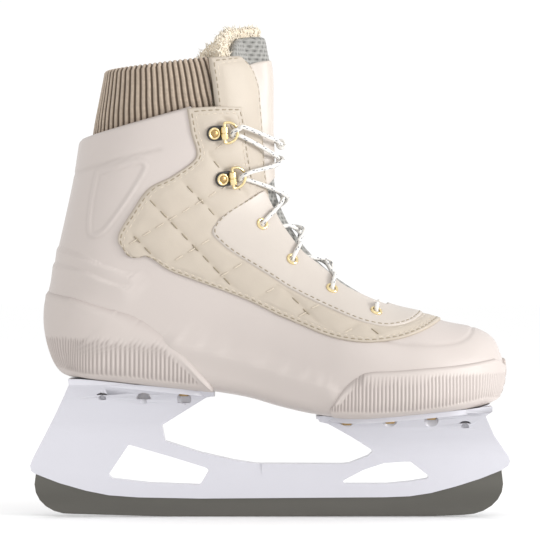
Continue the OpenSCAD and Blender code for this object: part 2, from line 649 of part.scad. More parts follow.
// Comes up under the edge at (x1, z1), out through eyelet i, and leaves towards (x2, z2)
function eyelet_pass(i, x1, z1, x2, z2, side) = [
    seat(x1, z1, -lace_depth, side),
    seat(mix(EYELETS[i][0], x1, 0.14), mix(EYELETS[i][1], z1, 0.14), -lace_depth, side),
    seat(EYELETS[i][0], EYELETS[i][1], 0.9, side),
    seat(mix(EYELETS[i][0], x2, 0.12), mix(EYELETS[i][1], z2, 0.12), 3.2, side),
    seat(mix(EYELETS[i][0], x2, 0.5), mix(EYELETS[i][1], z2, 0.5), 4.4, side),
    seat(x2, z2, 4.4, side)
];
function ring_pass(i, side) =
    let (f = hook_frame(i, side), x = barrel_x, z = barrel_z)
    [for (p = [[12, -3.4, -2.8], [8.4, -3, -3.2], [5.6, -2.2, -2.2], [4.6, -0.6, 0.2],
        [5.4, 1.2, 2.8], [8.2, 2.2, 3.8], [12, 2.8, 3]])
        in_frame(f, x + p[0], p[1], z + p[2])];
// In front of the tongue, with the second half of the lace lying over the first
function crossing(x, z, side, level, over) = [x, side * 3, z] + level * over;
function half_route(side, level) = concat(
    [[66.4, side * 5, 131], [65.6, side * 10.5, 129.4]],
    [seat(64.6, 126.2, 4.4, side), seat(64.1, 124.6, 3.4, side), seat(64, 124, 0.9, side)],
    [seat(63.4, 124.2, -lace_depth, side), seat(50.5, 130.6, -lace_depth, side)],
    eyelet_pass(2, 41, 136, 38.6, 143.6, side),
    [[37.4, side * 9, 149.4], crossing(34.4, 154.4, side, level, [2.4, 0, 2.2])],
    [[28, side * -9, 157.6]],
    eyelet_pass(1, 19, 159.6, 16.8, 162.4, -side),
    [[17.6, side * -9.5, 168.2], crossing(18, 173.4, -side, level, [2.8, 0, 1.6])],
    [[12, side * 10, 177.2]],
    eyelet_pass(0, 4.2, 177.2, 0.6, 183, side),
    [[4.4, side * 10, 188.4], crossing(7.6, 193.4, side, level, [3, 0, 0.8])],
    [[3.4, side * -10.5, 199]],
    ring_pass(1, -side),
    [[1.4, side * -14, 213.2], crossing(5, 217, -side, level, [3, 0, 0.4])],
    [[1.8, side * 13, 220.8]],
    ring_pass(0, side),
    [[2.6, side * 13, 229.4], [5.6, side * 7.4, 227.4], [6.4, side * knot_w / 2, 227]]
);
function tube_frames(p) = [
    for (i = 0, t = p[1] - p[0], u = cross(t, [0.3, 0.2, 1]);
        i < len(p);
        i = i + 1,
        t = i < len(p) ? p[min(i + 1, len(p) - 1)] - p[i - 1] : t,
        u = u - t * (u * t) / (t * t))
    [u / norm(u), cross(t, u) / norm(cross(t, u))]
];
module tube(p, d) {
    f = tube_frames(p);
    n = 8;
    last = len(p) - 1;
    points = [for (i = [0:last]) for (k = [0:n - 1])
        p[i] + d / 2 * (f[i][0] * cos(360 * k / n) + f[i][1] * sin(360 * k / n))];
    walls = [for (i = [0:last - 1]) for (k = [0:n - 1])
        let (a = i * n + k, b = i * n + (k + 1) % n) [[a, b, b + n], [a, b + n, a + n]]];
    caps = [[for (k = [0:n - 1]) n - 1 - k], [for (k = [0:n - 1]) last * n + k]];
    faces = concat(flat_list(walls), caps);
    polyhedron(points, [for (w = faces) [for (k = [len(w) - 1:-1:0]) w[k]]]);
}
module lace() {
    one = half_route(-1, 0);
    two = half_route(1, 1);
    color([0.94, 0.92, 0.90])
        tube(concat([for (i = [len(one) - 1:-1:0]) one[i]], two), lace_d);
}

// Knot in front of the tongue that both ends of the lace go into
module lace_knot() {
    color([0.94, 0.92, 0.90]) translate([6.9, knot_w / 2, 227]) rotate([90, 0, 0])
        rotate_extrude() polygon([[0, 0], [2.2, 0], [3.1, 1.6], [3.3, knot_w / 2],
            [3.1, knot_w - 1.6], [2.2, knot_w], [0, knot_w]]);
}

runner();
blade_holder();
rivets(REAR_RIVETS);  // rear_rivets
rivets(FRONT_RIVETS);  // front_rivets
washers(REAR_RIVETS);  // rear_washers
washers(FRONT_RIVETS);  // front_washers
runner_bolts();
runner_nuts();
boot_shell();
heel_bumper();
toe_bumper();
insole_board();
footbed();
liner();
quarter(-1);  // quarter_lateral
quarter(1);  // quarter_medial
eyestay(-1);  // eyestay_lateral
eyestay(1);  // eyestay_medial
knit_cuff();
collar_flap(-1);  // collar_flap_lateral
collar_flap(1);  // collar_flap_medial
tongue();
tongue_patch();
tongue_fur();
eyelets(-1);  // eyelets_lateral
eyelets(1);  // eyelets_medial
hook(0, -1);  // hook_upper_lateral
hook(1, -1);  // hook_lower_lateral
hook(0, 1);  // hook_upper_medial
hook(1, 1);  // hook_lower_medial
ring(0, -1);  // ring_upper_lateral
ring(1, -1);  // ring_lower_lateral
ring(0, 1);  // ring_upper_medial
ring(1, 1);  // ring_lower_medial
hook_rivets();
lace();
lace_knot();
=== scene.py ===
"""Looks of the lace-up recreational ice skate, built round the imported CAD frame.

Sizes in this file are in millimetres and are turned into metres when a mesh is made. The boot's
form and the lace's route repeat part.scad. The outlines nearly do: the knit cuff, the fur and the
tongue's patch reach further round the form than in the CAD, the tongue starts a little lower, the
bumpers' foot lines are about 1 mm lower, and a few points of the upper panels differ.
"""
import math

import bmesh
import bpy
import numpy as np
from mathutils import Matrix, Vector


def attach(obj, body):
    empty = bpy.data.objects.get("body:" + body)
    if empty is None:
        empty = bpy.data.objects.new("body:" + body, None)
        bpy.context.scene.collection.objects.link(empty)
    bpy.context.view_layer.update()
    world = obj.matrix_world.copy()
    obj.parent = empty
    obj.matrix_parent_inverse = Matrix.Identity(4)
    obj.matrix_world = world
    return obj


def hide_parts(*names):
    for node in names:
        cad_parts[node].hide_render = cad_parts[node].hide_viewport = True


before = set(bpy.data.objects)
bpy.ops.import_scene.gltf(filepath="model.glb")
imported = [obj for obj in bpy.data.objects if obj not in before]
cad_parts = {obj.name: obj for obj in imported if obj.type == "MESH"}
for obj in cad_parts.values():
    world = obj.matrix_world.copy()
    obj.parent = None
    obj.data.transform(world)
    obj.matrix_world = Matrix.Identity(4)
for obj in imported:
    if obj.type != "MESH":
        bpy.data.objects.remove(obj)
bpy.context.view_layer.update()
MM = 0.001
LATERAL, MEDIAL = -1, 1

# ---- Driving sizes, as in part.scad ----
BALL_HALF_W, HEEL_HALF_W, SHAFT_HALF_W = 49, 35.5, 42.5
SHELL_T, LINER_T, LEATHER_T, GAP = 3, 4, 1.6, 0.3
LACE_D = 2.8
RING_WIRE_D, RING_W, RING_REACH = 1.8, 10.6, 8.2

# ---- Form of the boot: lower end (x, z), upper end (x, z), half width share, sideways shift ----
FORM = np.array([
    [138.6, 73.5, 140.0, 101.5, 0, 5],
    [137.6, 71.2, 138.6, 105, 0.20, 5],
    [135, 69.6, 136, 109, 0.39, 4.6],
    [130.5, 68.2, 130.5, 113, 0.56, 4.2],
    [123, 67, 122, 116.2, 0.72, 3.6],
    [111, 65.8, 108, 118.9, 0.865, 2.6],
    [96, 64.4, 91.5, 123.3, 0.96, 1.4],
    [78, 62.6, 76, 127, 1, 0.4],
    [60, 61.2, 62, 133, 1, -0.4],
    [42, 61.2, 49, 140.3, 0.96, -1],
    [24, 63.7, 38, 148, 0.89, -1.2],
    [6, 67.8, 28, 157, 0.83, -1],
    [-13, 73.2, 19.5, 166.5, 0.785, -0.6],
    [-34, 76.8, 12.5, 176.5, 0.755, -0.3],
    [-56, 79.1, 7.5, 185.5, 0.74, 0],
    [-78, 81.2, 4, 193.5, 0.735, 0],
    [-98, 83.3, 2.4, 200, 0.73, 0],
    [-112, 84.8, 1.6, 205, 0.727, 0],
    [-121.5, 86.2, 1.1, 209.5, 0.725, 0],
    [-129, 92.5, 0.7, 213.5, 0.727, 0],
    [-133.8, 103, 0.4, 217.5, 0.73, 0],
    [-136.6, 116, 0.1, 221, 0.74, 0],
    [-136.6, 129, -0.3, 224.5, 0.75, 0],
    [-133.9, 142, -0.8, 228, 0.765, 0],
    [-129.8, 160, -1.4, 233, 0.79, 0],
    [-124.8, 182, -2, 239.5, 0.82, 0],
    [-119.9, 205, -2.8, 248, 0.85, 0],
    [-116.6, 226, -3.8, 259, 0.867, 0],
    [-114.5, 240, -5, 266, 0.872, 0],
    [-111.5, 256, -7, 274, 0.875, 0],
    [-109, 270, -9.5, 281, 0.875, 0],
    [-107.5, 281, -12.5, 290, 0.875, 0],
    [-106, 290, -16.5, 297.5, 0.87, 0],
], float)
WIDEST = ([0, 6, 12, 18, 24], [0.42, 0.36, 0.32, 0.42, 0.47])
LOWER_POWER = ([0, 4, 12, 17, 19, 22, 30], [2.6, 4.5, 6, 6.5, 3.5, 2.5, 2.4])
UPPER_POWER = ([0, 6, 12, 20, 27], [2.2, 2.1, 1.9, 2.1, 2.4])
TOE_BOW, TOE_END = 3.5, 7
# The row before the tip is the second row seen in the middle plane, which rounds the toe
TIP_ROW = FORM[1] * [1, 1, 1, 1, -1, 1]


def spline(p, s, before=None):
    """Catmull-Rom curve through the rows of p, at the places s."""
    s = np.asarray(s, float)
    i = np.clip(np.floor(s).astype(int), 0, len(p) - 2)
    k = (s - i)[..., None]
    a, b, c = p[np.maximum(i - 1, 0)], p[i], p[i + 1]
    d = p[np.minimum(i + 2, len(p) - 1)]
    if before is not None:
        a = np.where((i == 0)[..., None], before, a)
    return b + k / 2 * ((c - a) + k * ((2 * a - 5 * b + 4 * c - d) + k * (3 * b - a - 3 * c + d)))


def section(s):
    return spline(FORM, s, TIP_ROW)


def half_width(s, share):
    heel = (HEEL_HALF_W / 0.725 - BALL_HALF_W) * np.interp(s, [12, 17, 22], [0, 0.725, 0])
    shaft = (SHAFT_HALF_W - BALL_HALF_W * 0.867) * np.interp(s, [22, 27], [0, 1])
    return share * BALL_HALF_W + heel + shaft


def form(s, q, off=0.0):
    """Points of the form: section s, angle q in degrees round it, pushed out by off."""
    s, q, off = np.broadcast_arrays(*(np.asarray(v, float) for v in (s, q, off)))
    r, e = section(s), section(s + 0.05)
    a, b = r[..., 0:2], r[..., 2:4]
    long = np.linalg.norm(b - a, axis=-1)
    d = (b - a) / long[..., None]
    ahead = (r[..., 0] + r[..., 2] - e[..., 0] - e[..., 2]) / 2
    wider = (e[..., 4] - r[..., 4]) * BALL_HALF_W
    toe = np.where(s < TOE_END, wider / np.hypot(ahead, wider), 0)
    side = np.where(s == 0, 0, np.sqrt(np.maximum(0, 1 - toe * toe)))
    w = half_width(s, r[..., 4]) + off * side
    m = np.interp(s, *WIDEST)
    qa = np.minimum(np.abs(q), 180)
    n = 2 / np.where(qa < 90, np.interp(s, *LOWER_POWER), np.interp(s, *UPPER_POWER))
    c = np.abs(np.cos(np.radians(qa))) ** n
    t = np.where(qa < 90, m * (1 - c), m + (1 - m) * c)
    y = w * np.maximum(np.sin(np.radians(qa)), 0) ** n * np.sign(q)
    out = off * toe + TOE_BOW * np.maximum(0, 1 - s / 5) * 4 * t * (1 - t)
    across = np.stack([d[..., 1], -d[..., 0]], -1)
    p = a - d * off[..., None] + d * ((long + 2 * off) * t)[..., None] + across * out[..., None]
    return np.stack([p[..., 0], y + r[..., 5], p[..., 1]], -1)


def spot(p):
    """Section number and angle of the points seen at (x, z) from the side."""
    p = np.asarray(p, float)
    lo, hi = np.full(p.shape[:-1], 1.0), np.full(p.shape[:-1], 30.0)
    for _ in range(18):
        s = (lo + hi) / 2
        r = section(s)
        ab = r[..., 2:4] - r[..., 0:2]
        ap = p - r[..., 0:2]
        past = ab[..., 0] * ap[..., 1] - ab[..., 1] * ap[..., 0] > 0
        lo, hi = np.where(past, s, lo), np.where(past, hi, s)
    r = section(s)
    ab = r[..., 2:4] - r[..., 0:2]
    t = np.clip(((p - r[..., 0:2]) * ab).sum(-1) / (ab * ab).sum(-1), 0, 1)
    m = np.interp(s, *WIDEST)
    low = np.arccos(np.clip(1 - t / m, 0, 1) ** (np.interp(s, *LOWER_POWER) / 2))
    high = np.arccos(np.clip((t - m) / (1 - m), 0, 1) ** (np.interp(s, *UPPER_POWER) / 2))
    return np.stack([s, np.where(t < m, np.degrees(low), 180 - np.degrees(high))], -1)


# ---- Side-view outlines (x, z), from the top of the shaft down and forward to the toe ----
QUARTER_REAR = [[-50, 247], [-47.5, 233], [-44.5, 218], [-58, 207], [-73, 199], [-83, 185],
                [-91, 171], [-88, 163], [-68, 155], [-30, 138.5], [11, 120.5], [41, 109],
                [63, 107], [85, 111], [98, 116.6]]
QUARTER_FRONT = [[-17.5, 248.5], [-15, 236], [-12.8, 219], [-11, 209], [-8.4, 194.5], [-23, 182.5],
                 [-31, 174.5], [-26.5, 166.2], [-16, 157.6], [10, 141.5], [37, 128.4],
                 [60, 119.4], [74, 117.4], [85.5, 120], [89.5, 122.3]]
STAY_REAR = [[-8, 195.5], [-15.5, 190.8], [-27.8, 183.2], [-35.6, 173.8], [-30, 165.4],
             [-19, 157.4], [8.2, 140.2], [35.3, 126.4], [58.5, 117.4], [74, 115.6], [88, 119.4]]
STAY_FRONT = [[-4.5, 198], [-1.6, 192.7], [2.2, 185.2], [7, 176.6], [15.8, 164.5], [21, 158.8],
              [34, 148.6], [44, 140.2], [55, 134.4], [66, 129.6], [71, 128]]
FLAP_REAR = [[-35.8, 278], [-35, 271], [-33.5, 262], [-32, 250], [-30, 236], [-25, 215],
             [-17, 198], [-6, 187.5]]
FLAP_FRONT = [[-17, 279.6], [-9.8, 271.6], [-6.4, 262], [-5.2, 250], [-4, 236], [-2.6, 215],
              [-0.6, 199], [1, 188.5]]
HEEL_TOP = [[-34.4, 79.6], [-45, 91.7], [-55, 102.4], [-64, 110.3], [-80.5, 121.8], [-102, 128.3],
            [-120, 134]]
HEEL_FOOT = [[-33.6, 77.4], [-45, 78.5], [-55, 79.5], [-64, 80.3], [-80.5, 82], [-100, 84.2],
             [-114, 86.6]]
TOE_TOP = [[36, 67.3], [44, 78.9], [52.4, 86.3], [60, 89.2], [75, 90], [94.5, 91.5],
           [112, 93], [126, 95], [134, 96.5]]
TOE_FOOT = [[37.5, 62.8], [44, 62.1], [52.4, 61.9], [60, 62.1], [75, 63.2], [94.5, 65.1],
            [112, 66.8], [124, 68.6], [132, 70.8]]
# Where the panels cross the middle of the vamp, by section number
QUARTER_MIDDLE, STAY_MIDDLE, THROAT_MIDDLE = 5.25, 5.95, 7.35


# ---- Materials ----
def grey(value, colour):
    return tuple(value * c for c in colour)


def material(name, base, rough, metallic=0.0, tone_and_reflection_mottle=(30, 0.03), bumps=(), painted_shade=None, sheen=0.0,
             coat=0.0, rough_mottle=0.0, stretch=None):
    """Principled material. bumps are (texture, scale per metre, height in mm); the shade colour is
    painted shade, which the mesh's shade attribute mixes in where shadow would fall."""
    mat = bpy.data.materials.new(name)
    mat.use_nodes = True
    nodes, links = mat.node_tree.nodes, mat.node_tree.links
    bsdf = nodes["Principled BSDF"]
    bsdf.inputs["Roughness"].default_value = rough
    bsdf.inputs["Metallic"].default_value = metallic
    bsdf.inputs["Sheen Weight"].default_value = sheen
    bsdf.inputs["Sheen Roughness"].default_value = 0.5
    bsdf.inputs["Coat Weight"].default_value = coat
    bsdf.inputs["Coat Roughness"].default_value = 0.25
    place = nodes.new("ShaderNodeTexCoord").outputs["Object"]
    if stretch:
        mapping = nodes.new("ShaderNodeMapping")
        mapping.inputs["Scale"].default_value = stretch
        links.new(place, mapping.inputs["Vector"])
        place = mapping.outputs["Vector"]

    def noise(scale, detail=3.0):
        node = nodes.new("ShaderNodeTexNoise")
        node.inputs["Scale"].default_value = scale
        node.inputs["Detail"].default_value = detail
        links.new(place, node.inputs["Vector"])
        return node.outputs["Fac"]

    # Colour mottle: random tone, and on the runner's steel, stretched into streaks, painted
    # reflection
    ramp = nodes.new("ShaderNodeValToRGB")
    ramp.color_ramp.elements[0].position = 0.3
    ramp.color_ramp.elements[0].color = (*grey(1 - tone_and_reflection_mottle[1], base), 1)
    ramp.color_ramp.elements[1].position = 0.7
    ramp.color_ramp.elements[1].color = (*(min(1.0, c) for c in grey(1 + tone_and_reflection_mottle[1], base)), 1)
    links.new(noise(tone_and_reflection_mottle[0]), ramp.inputs["Fac"])
    colour = ramp.outputs["Color"]
    # Painted shade: the mesh's shade attribute mixes the darker shade colour into the base colour
    if painted_shade:
        attribute = nodes.new("ShaderNodeAttribute")
        attribute.attribute_name = "painted_shade"
        blend = nodes.new("ShaderNodeMix")
        blend.data_type = "RGBA"
        blend.inputs["B"].default_value = (*painted_shade, 1)
        links.new(attribute.outputs["Fac"], blend.inputs["Factor"])
        links.new(colour, blend.inputs["A"])
        colour = blend.outputs["Result"]
    links.new(colour, bsdf.inputs["Base Color"])
    if rough_mottle:
        spread = nodes.new("ShaderNodeMapRange")
        spread.inputs["To Min"].default_value = rough - rough_mottle
        spread.inputs["To Max"].default_value = rough + rough_mottle
        links.new(noise(tone_and_reflection_mottle[0] * 3), spread.inputs["Value"])
        links.new(spread.outputs["Result"], bsdf.inputs["Roughness"])
    normal = None
    for kind, scale, height in bumps:
        if kind == "noise":
            value = noise(scale, 4.0)
        elif kind == "cells":
            node = nodes.new("ShaderNodeTexVoronoi")
            node.inputs["Scale"].default_value = scale
            node.feature = "DISTANCE_TO_EDGE"
            links.new(place, node.inputs["Vector"])
            value = node.outputs["Distance"]
        else:
            node = nodes.new("ShaderNodeTexWave")
            node.bands_direction = kind
            node.inputs["Scale"].default_value = scale
            node.inputs["Distortion"].default_value = 0.6
            node.inputs["Detail"].default_value = 1.0
            links.new(place, node.inputs["Vector"])
            value = node.outputs["Fac"]
        bump = nodes.new("ShaderNodeBump")
        bump.inputs["Strength"].default_value = 1.0
        bump.inputs["Distance"].default_value = height * MM
        links.new(value, bump.inputs["Height"])
        if normal:
            links.new(normal, bump.inputs["Normal"])
        normal = bump.outputs["Normal"]
    if normal:
        links.new(normal, bsdf.inputs["Normal"])
    return mat


SHELL = (0.52, 0.465, 0.435)
# Each shade colour below is painted shade: the darker colour that a piece's shade attribute mixes in
# where shadow falls in grooves, between ribs, along edges and in holes
MATS = {
    "shell": material("shell_moulded", SHELL, 0.42, tone_and_reflection_mottle=(14, 0.02), painted_shade=(0.38, 0.335, 0.31),
                      bumps=[("noise", 1500, 0.02), ("noise", 60, 0.06)], coat=0.08,
                      rough_mottle=0.04),
    "bumper": material("bumper_rubber", (0.52, 0.465, 0.435), 0.5, tone_and_reflection_mottle=(18, 0.02),
                       painted_shade=(0.36, 0.31, 0.29), bumps=[("noise", 1800, 0.025)]),
    "quilted": material("quilted_leather", (0.475, 0.415, 0.345), 0.55, tone_and_reflection_mottle=(60, 0.025),
                        painted_shade=(0.40, 0.34, 0.265), sheen=0.08,
                        bumps=[("cells", 900, 0.05), ("noise", 500, 0.06)], rough_mottle=0.05),
    "smooth": material("smooth_leather", (0.52, 0.468, 0.42), 0.42, tone_and_reflection_mottle=(50, 0.02),
                       painted_shade=(0.42, 0.37, 0.32), coat=0.06,
                       bumps=[("cells", 1300, 0.03), ("noise", 400, 0.05)], rough_mottle=0.04),
    "knit": material("rib_knit", (0.50, 0.40, 0.31), 0.85, tone_and_reflection_mottle=(350, 0.10), sheen=0.25,
                     painted_shade=(0.10, 0.066, 0.04), bumps=[("Z", 400, 0.25), ("noise", 1500, 0.12)]),
    "fur": material("pile_fur", (0.86, 0.80, 0.69), 0.9, tone_and_reflection_mottle=(220, 0.05), sheen=0.35,
                    painted_shade=(0.62, 0.53, 0.40), bumps=[("noise", 2500, 0.05)]),
    "mesh": material("woven_mesh", (0.34, 0.335, 0.315), 0.8, tone_and_reflection_mottle=(500, 0.10), sheen=0.15,
                     painted_shade=(0.035, 0.033, 0.03), bumps=[("noise", 1800, 0.08)]),
    "lining": material("fleece_lining", (0.80, 0.74, 0.62), 0.95, tone_and_reflection_mottle=(160, 0.05), sheen=0.3,
                       bumps=[("noise", 700, 0.5), ("noise", 2500, 0.15)]),
    "lace": material("lace_cotton", (0.70, 0.68, 0.645), 0.8, tone_and_reflection_mottle=(700, 0.04), sheen=0.2,
                     bumps=[("noise", 2600, 0.08)]),
    "fleck": material("lace_fleck", (0.16, 0.165, 0.19), 0.8, tone_and_reflection_mottle=(700, 0.15), sheen=0.2,
                      bumps=[("noise", 2600, 0.08)]),
    "thread": material("stitch_thread", (0.31, 0.26, 0.19), 0.7, tone_and_reflection_mottle=(900, 0.08),
                       bumps=[("noise", 3000, 0.05)]),
    "light_thread": material("light_thread", (0.56, 0.49, 0.40), 0.7, tone_and_reflection_mottle=(900, 0.06),
                             bumps=[("noise", 3000, 0.05)]),
    "gold": material("gold_plate", (0.83, 0.68, 0.38), 0.2, metallic=1, tone_and_reflection_mottle=(90, 0.05),
                     bumps=[("noise", 900, 0.01)], rough_mottle=0.05),
    "black": material("black_plate", (0.018, 0.017, 0.017), 0.35, tone_and_reflection_mottle=(90, 0.2),
                      bumps=[("noise", 1200, 0.02)], coat=0.2, rough_mottle=0.06),
    "holder": material("holder_plastic", (0.60, 0.595, 0.64), 0.3, tone_and_reflection_mottle=(12, 0.012),
                       bumps=[("noise", 1600, 0.012), ("noise", 50, 0.05)], coat=0.15,
                       rough_mottle=0.04),
    # Runner steel: its strong colour mottle, stretched along the runner, is painted reflection,
    # streaks standing for the surroundings mirrored in the steel; its shade colour is painted shade,
    # but the runner's mesh has no shade attribute to mix it in
    "steel": material("runner_steel", (0.15, 0.145, 0.13), 0.34, metallic=1, tone_and_reflection_mottle=(14, 0.42),
                      painted_shade=(0.08, 0.077, 0.07), bumps=[("noise", 900, 0.012)],
                      rough_mottle=0.08, stretch=(0.12, 1, 1)),
    "rivet": material("aged_brass", (0.40, 0.27, 0.12), 0.32, metallic=1, tone_and_reflection_mottle=(200, 0.2),
                      bumps=[("noise", 1500, 0.02)], rough_mottle=0.08),
    "fastener": material("zinc_steel", (0.60, 0.60, 0.61), 0.35, metallic=1, tone_and_reflection_mottle=(150, 0.08),
                         bumps=[("noise", 1200, 0.012)], rough_mottle=0.06),
    "board": material("fibre_board", (0.42, 0.31, 0.19), 0.85, tone_and_reflection_mottle=(120, 0.12),
                      bumps=[("noise", 1200, 0.1)]),
    "foam": material("footbed_cloth", (0.105, 0.105, 0.11), 0.9, tone_and_reflection_mottle=(400, 0.15), sheen=0.2,
                     bumps=[("X", 900, 0.1), ("Y", 900, 0.1)]),
}


# ---- Mesh helpers ----
def make(name, verts, faces, mats, slot, replaces=(), painted_shade=None, body="boot", face_mats=None,
         sharp=None):
    """One piece from points in millimetres. Points that coincide are joined, and faces that would
    lie inside are left out."""
    verts = np.asarray(verts, float).reshape(-1, 3)
    _, first, index = np.unique(np.round(verts / 0.005), axis=0, return_index=True,
                                return_inverse=True)
    index = index.reshape(-1)
    count, kept = {}, []
    for n, f in enumerate(faces):
        ring = [int(index[v]) for v in f]
        ring = [v for k, v in enumerate(ring) if v != ring[k - 1]]
        key = frozenset(ring)
        if len(key) > 2 and len(key) == len(ring):
            count[key] = count.get(key, 0) + 1
            kept.append((key, ring, n))
    kept = [k for k in kept if count[k[0]] == 1]
    mesh = bpy.data.meshes.new(name)
    mesh.from_pydata((verts[first] * MM).tolist(), [], [k[1] for k in kept])
    for m in mats if isinstance(mats, list) else [mats]:
        mesh.materials.append(MATS[m])
    if face_mats is not None:
        mesh.polygons.foreach_set("material_index", [int(face_mats[k[2]]) for k in kept])
    # Painted shade, kept as a point attribute for the material to mix in
    if painted_shade is not None:
        attribute = mesh.attributes.new("painted_shade", "FLOAT", "POINT")
        attribute.data.foreach_set("value", np.asarray(painted_shade, float).reshape(-1)[first])
    bm = bmesh.new()
    bm.from_mesh(mesh)
    loose = [v for v in bm.verts if not v.link_faces]
    bmesh.ops.delete(bm, geom=loose, context="VERTS")
    bmesh.ops.recalc_face_normals(bm, faces=bm.faces)
    bm.to_mesh(mesh)
    bm.free()
    mesh.polygons.foreach_set("use_smooth", [True] * len(mesh.polygons))
    if sharp:
        mesh.set_sharp_from_angle(angle=math.radians(sharp))
    obj = bpy.data.objects.new(name, mesh)
    bpy.context.scene.collection.objects.link(obj)
    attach(obj, body)
    if replaces:
        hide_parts(*replaces)
    return obj


def grid_faces(m, n, start=0, wrap=False):
    cols = n if wrap else n - 1
    return [(start + i * n + j, start + i * n + (j + 1) % n, start + (i + 1) * n + (j + 1) % n,
             start + (i + 1) * n + j) for i in range(m - 1) for j in range(cols)]


def closed_sheet(outer, inner):
    """Points and faces of the closed solid between two grids of the same size."""
    m, n = outer.shape[:2]
    size = m * n
    faces = grid_faces(m, n) + grid_faces(m, n, size)
    edges = [(j, j + 1) for j in range(n - 1)]
    edges += [((m - 1) * n + j, (m - 1) * n + j + 1) for j in range(n - 1)]
    edges += [(i * n, (i + 1) * n) for i in range(m - 1)]
    edges += [(i * n + n - 1, (i + 1) * n + n - 1) for i in range(m - 1)]
    faces += [(a, b, b + size, a + size) for a, b in edges]
    return np.concatenate([outer.reshape(-1, 3), inner.reshape(-1, 3)]), faces


def sheet(name, outer, inner, mat, slot, replaces, painted_shade):
    """Piece between two grids, with its painted shade on the outer one only."""
    verts, faces = closed_sheet(outer, inner)
    return make(name, verts, faces, mat, slot, replaces,
                painted_shade=np.concatenate([painted_shade.reshape(-1), np.zeros(painted_shade.size)]))


def smooth_line(points, n=80):
    points = np.asarray(points, float)
    return spline(points, np.linspace(0, len(points) - 1, n))


def line_distance(p, line):
    """Distance from the points p to a line in the side view, negative on its right."""
    best = np.full(p.shape[:-1], 1e9)
    signed = np.zeros(p.shape[:-1])
    for a, b in zip(line[:-1], line[1:]):
        d = b - a
        t = np.clip(((p - a) * d).sum(-1) / (d @ d), 0, 1)
        gap = p - a - t[..., None] * d
        dist = np.hypot(gap[..., 0], gap[..., 1])
        side = np.sign(d[0] * gap[..., 1] - d[1] * gap[..., 0])
        signed = np.where(dist < best, dist * side, signed)
        best = np.minimum(best, dist)
    return signed


def ease(x):
    x = np.clip(x, 0, 1)
    return x * x * (3 - 2 * x)


def bell(d, width):
    """Height share of a soft ridge or groove of this width, at distance d from its middle."""
    return np.exp(-(d / width) ** 2)


def edge_lengths(p):
    """Distance of each grid point from the first column, last column, first and last row."""
    across = np.linalg.norm(np.diff(p, axis=1), axis=-1)
    along = np.linalg.norm(np.diff(p, axis=0), axis=-1)
    left = np.pad(np.cumsum(across, 1), ((0, 0), (1, 0)))
    top = np.pad(np.cumsum(along, 0), ((1, 0), (0, 0)))
    return left, left[:, -1:] - left, top, top[-1:] - top


def rounded(d, r):
    """Height share of a quarter-round edge of radius r at distance d from the edge."""
    k = 1 - np.clip(d / r, 0, 1)
    return np.sqrt(np.maximum(0, 1 - k * k))


def soft_min(values, power=4):
    total = sum(np.maximum(v, 1e-3) ** -power for v in values)
    return total ** (-1 / power)


def fold(rows):
    """Places [s, v], where v is the angle from the middle of the instep, as [s, q]."""
    v = rows[..., 1]
    return rows[..., 0], np.where(v < 0, -1, 1) * (180 - np.abs(v))


def unfold(points):
    c = spot(points)
    return np.stack([c[..., 0], c[..., 1] - 180], -1)


def mirror_rows(c):
    return c * [1, -1]


def resampled(rows, m, n):
    """A finer grid of places, with its rows evenly spaced along the strip."""
    fine = spline(rows.reshape(len(rows), -1), np.linspace(0, len(rows) - 1, 6 * len(rows)))
    fine = fine.reshape(-1, *rows.shape[1:])
    s, q = fold(fine)
    step = np.linalg.norm(np.diff(form(s, q), axis=0), axis=-1).mean(1)
    length = np.concatenate([[0], np.cumsum(step)])
    at = np.interp(np.linspace(0, length[-1], m), length, np.linspace(0, len(rows) - 1, len(fine)))
    grid = spline(rows.reshape(len(rows), -1), at).reshape(m, *rows.shape[1:])
    k = np.linspace(0, rows.shape[1] - 1, n)
    return spline(grid.transpose(1, 0, 2).reshape(rows.shape[1], -1), k).reshape(
        n, m, 2).transpose(1, 0, 2)


def capsules(centres, directions, normals, length, radius, sides=6):
    """Points and faces of short rounded threads."""
    verts, faces = [], []
    rings = [(-1, 0.0), (-0.92, 0.6), (-0.7, 1), (0, 1.05), (0.7, 1), (0.92, 0.6), (1, 0.0)]
    for c, t, n in zip(centres, directions, normals):
        b = np.cross(t, n)
        start = len(verts)
        for at, r in rings:
            for k in range(sides):
                a = 2 * math.pi * k / sides
                verts.append(c + t * at * length / 2
                             + radius * r * (math.cos(a) * b + 0.8 * math.sin(a) * n))
        faces += grid_faces(len(rings), sides, start, wrap=True)
    return np.array(verts), faces


def normal_at(s, q, off=0.0):
    o = form(s, q, off)
    n = np.cross(form(s, q + 0.4, off) - o, form(s + 0.04, q, off) - o)
    away = o - form(s, q, off - 2)
    n = n * np.sign((n * away).sum(-1))[..., None]
    return o, n / np.linalg.norm(n, axis=-1)[..., None]


def stitches(name, places, off, pitch, length, radius, mat, slot):
    """Threads along curves of places [s, q] on the form."""
    centres, ways, normals = [], [], []
    for line in places:
        line = np.asarray(line)
        p = form(line[:, 0], line[:, 1], off)
        at = np.concatenate([[0], np.cumsum(np.linalg.norm(np.diff(p, axis=0), axis=-1))])
        for d in np.arange(pitch / 2, at[-1] - length / 2, pitch):
            ends = [np.array([np.interp(x, at, p[:, k]) for k in range(3)])
                    for x in (d - length / 2, d + length / 2)]
            sq = [np.interp(d, at, line[:, k]) for k in range(2)]
            way = ends[1] - ends[0]
            centres.append((ends[0] + ends[1]) / 2)
            ways.append(way / np.linalg.norm(way))
            normals.append(normal_at(sq[0], sq[1], off)[1])
    verts, faces = capsules(centres, ways, normals, length, radius)
    return make(name, verts, faces, mat, slot)


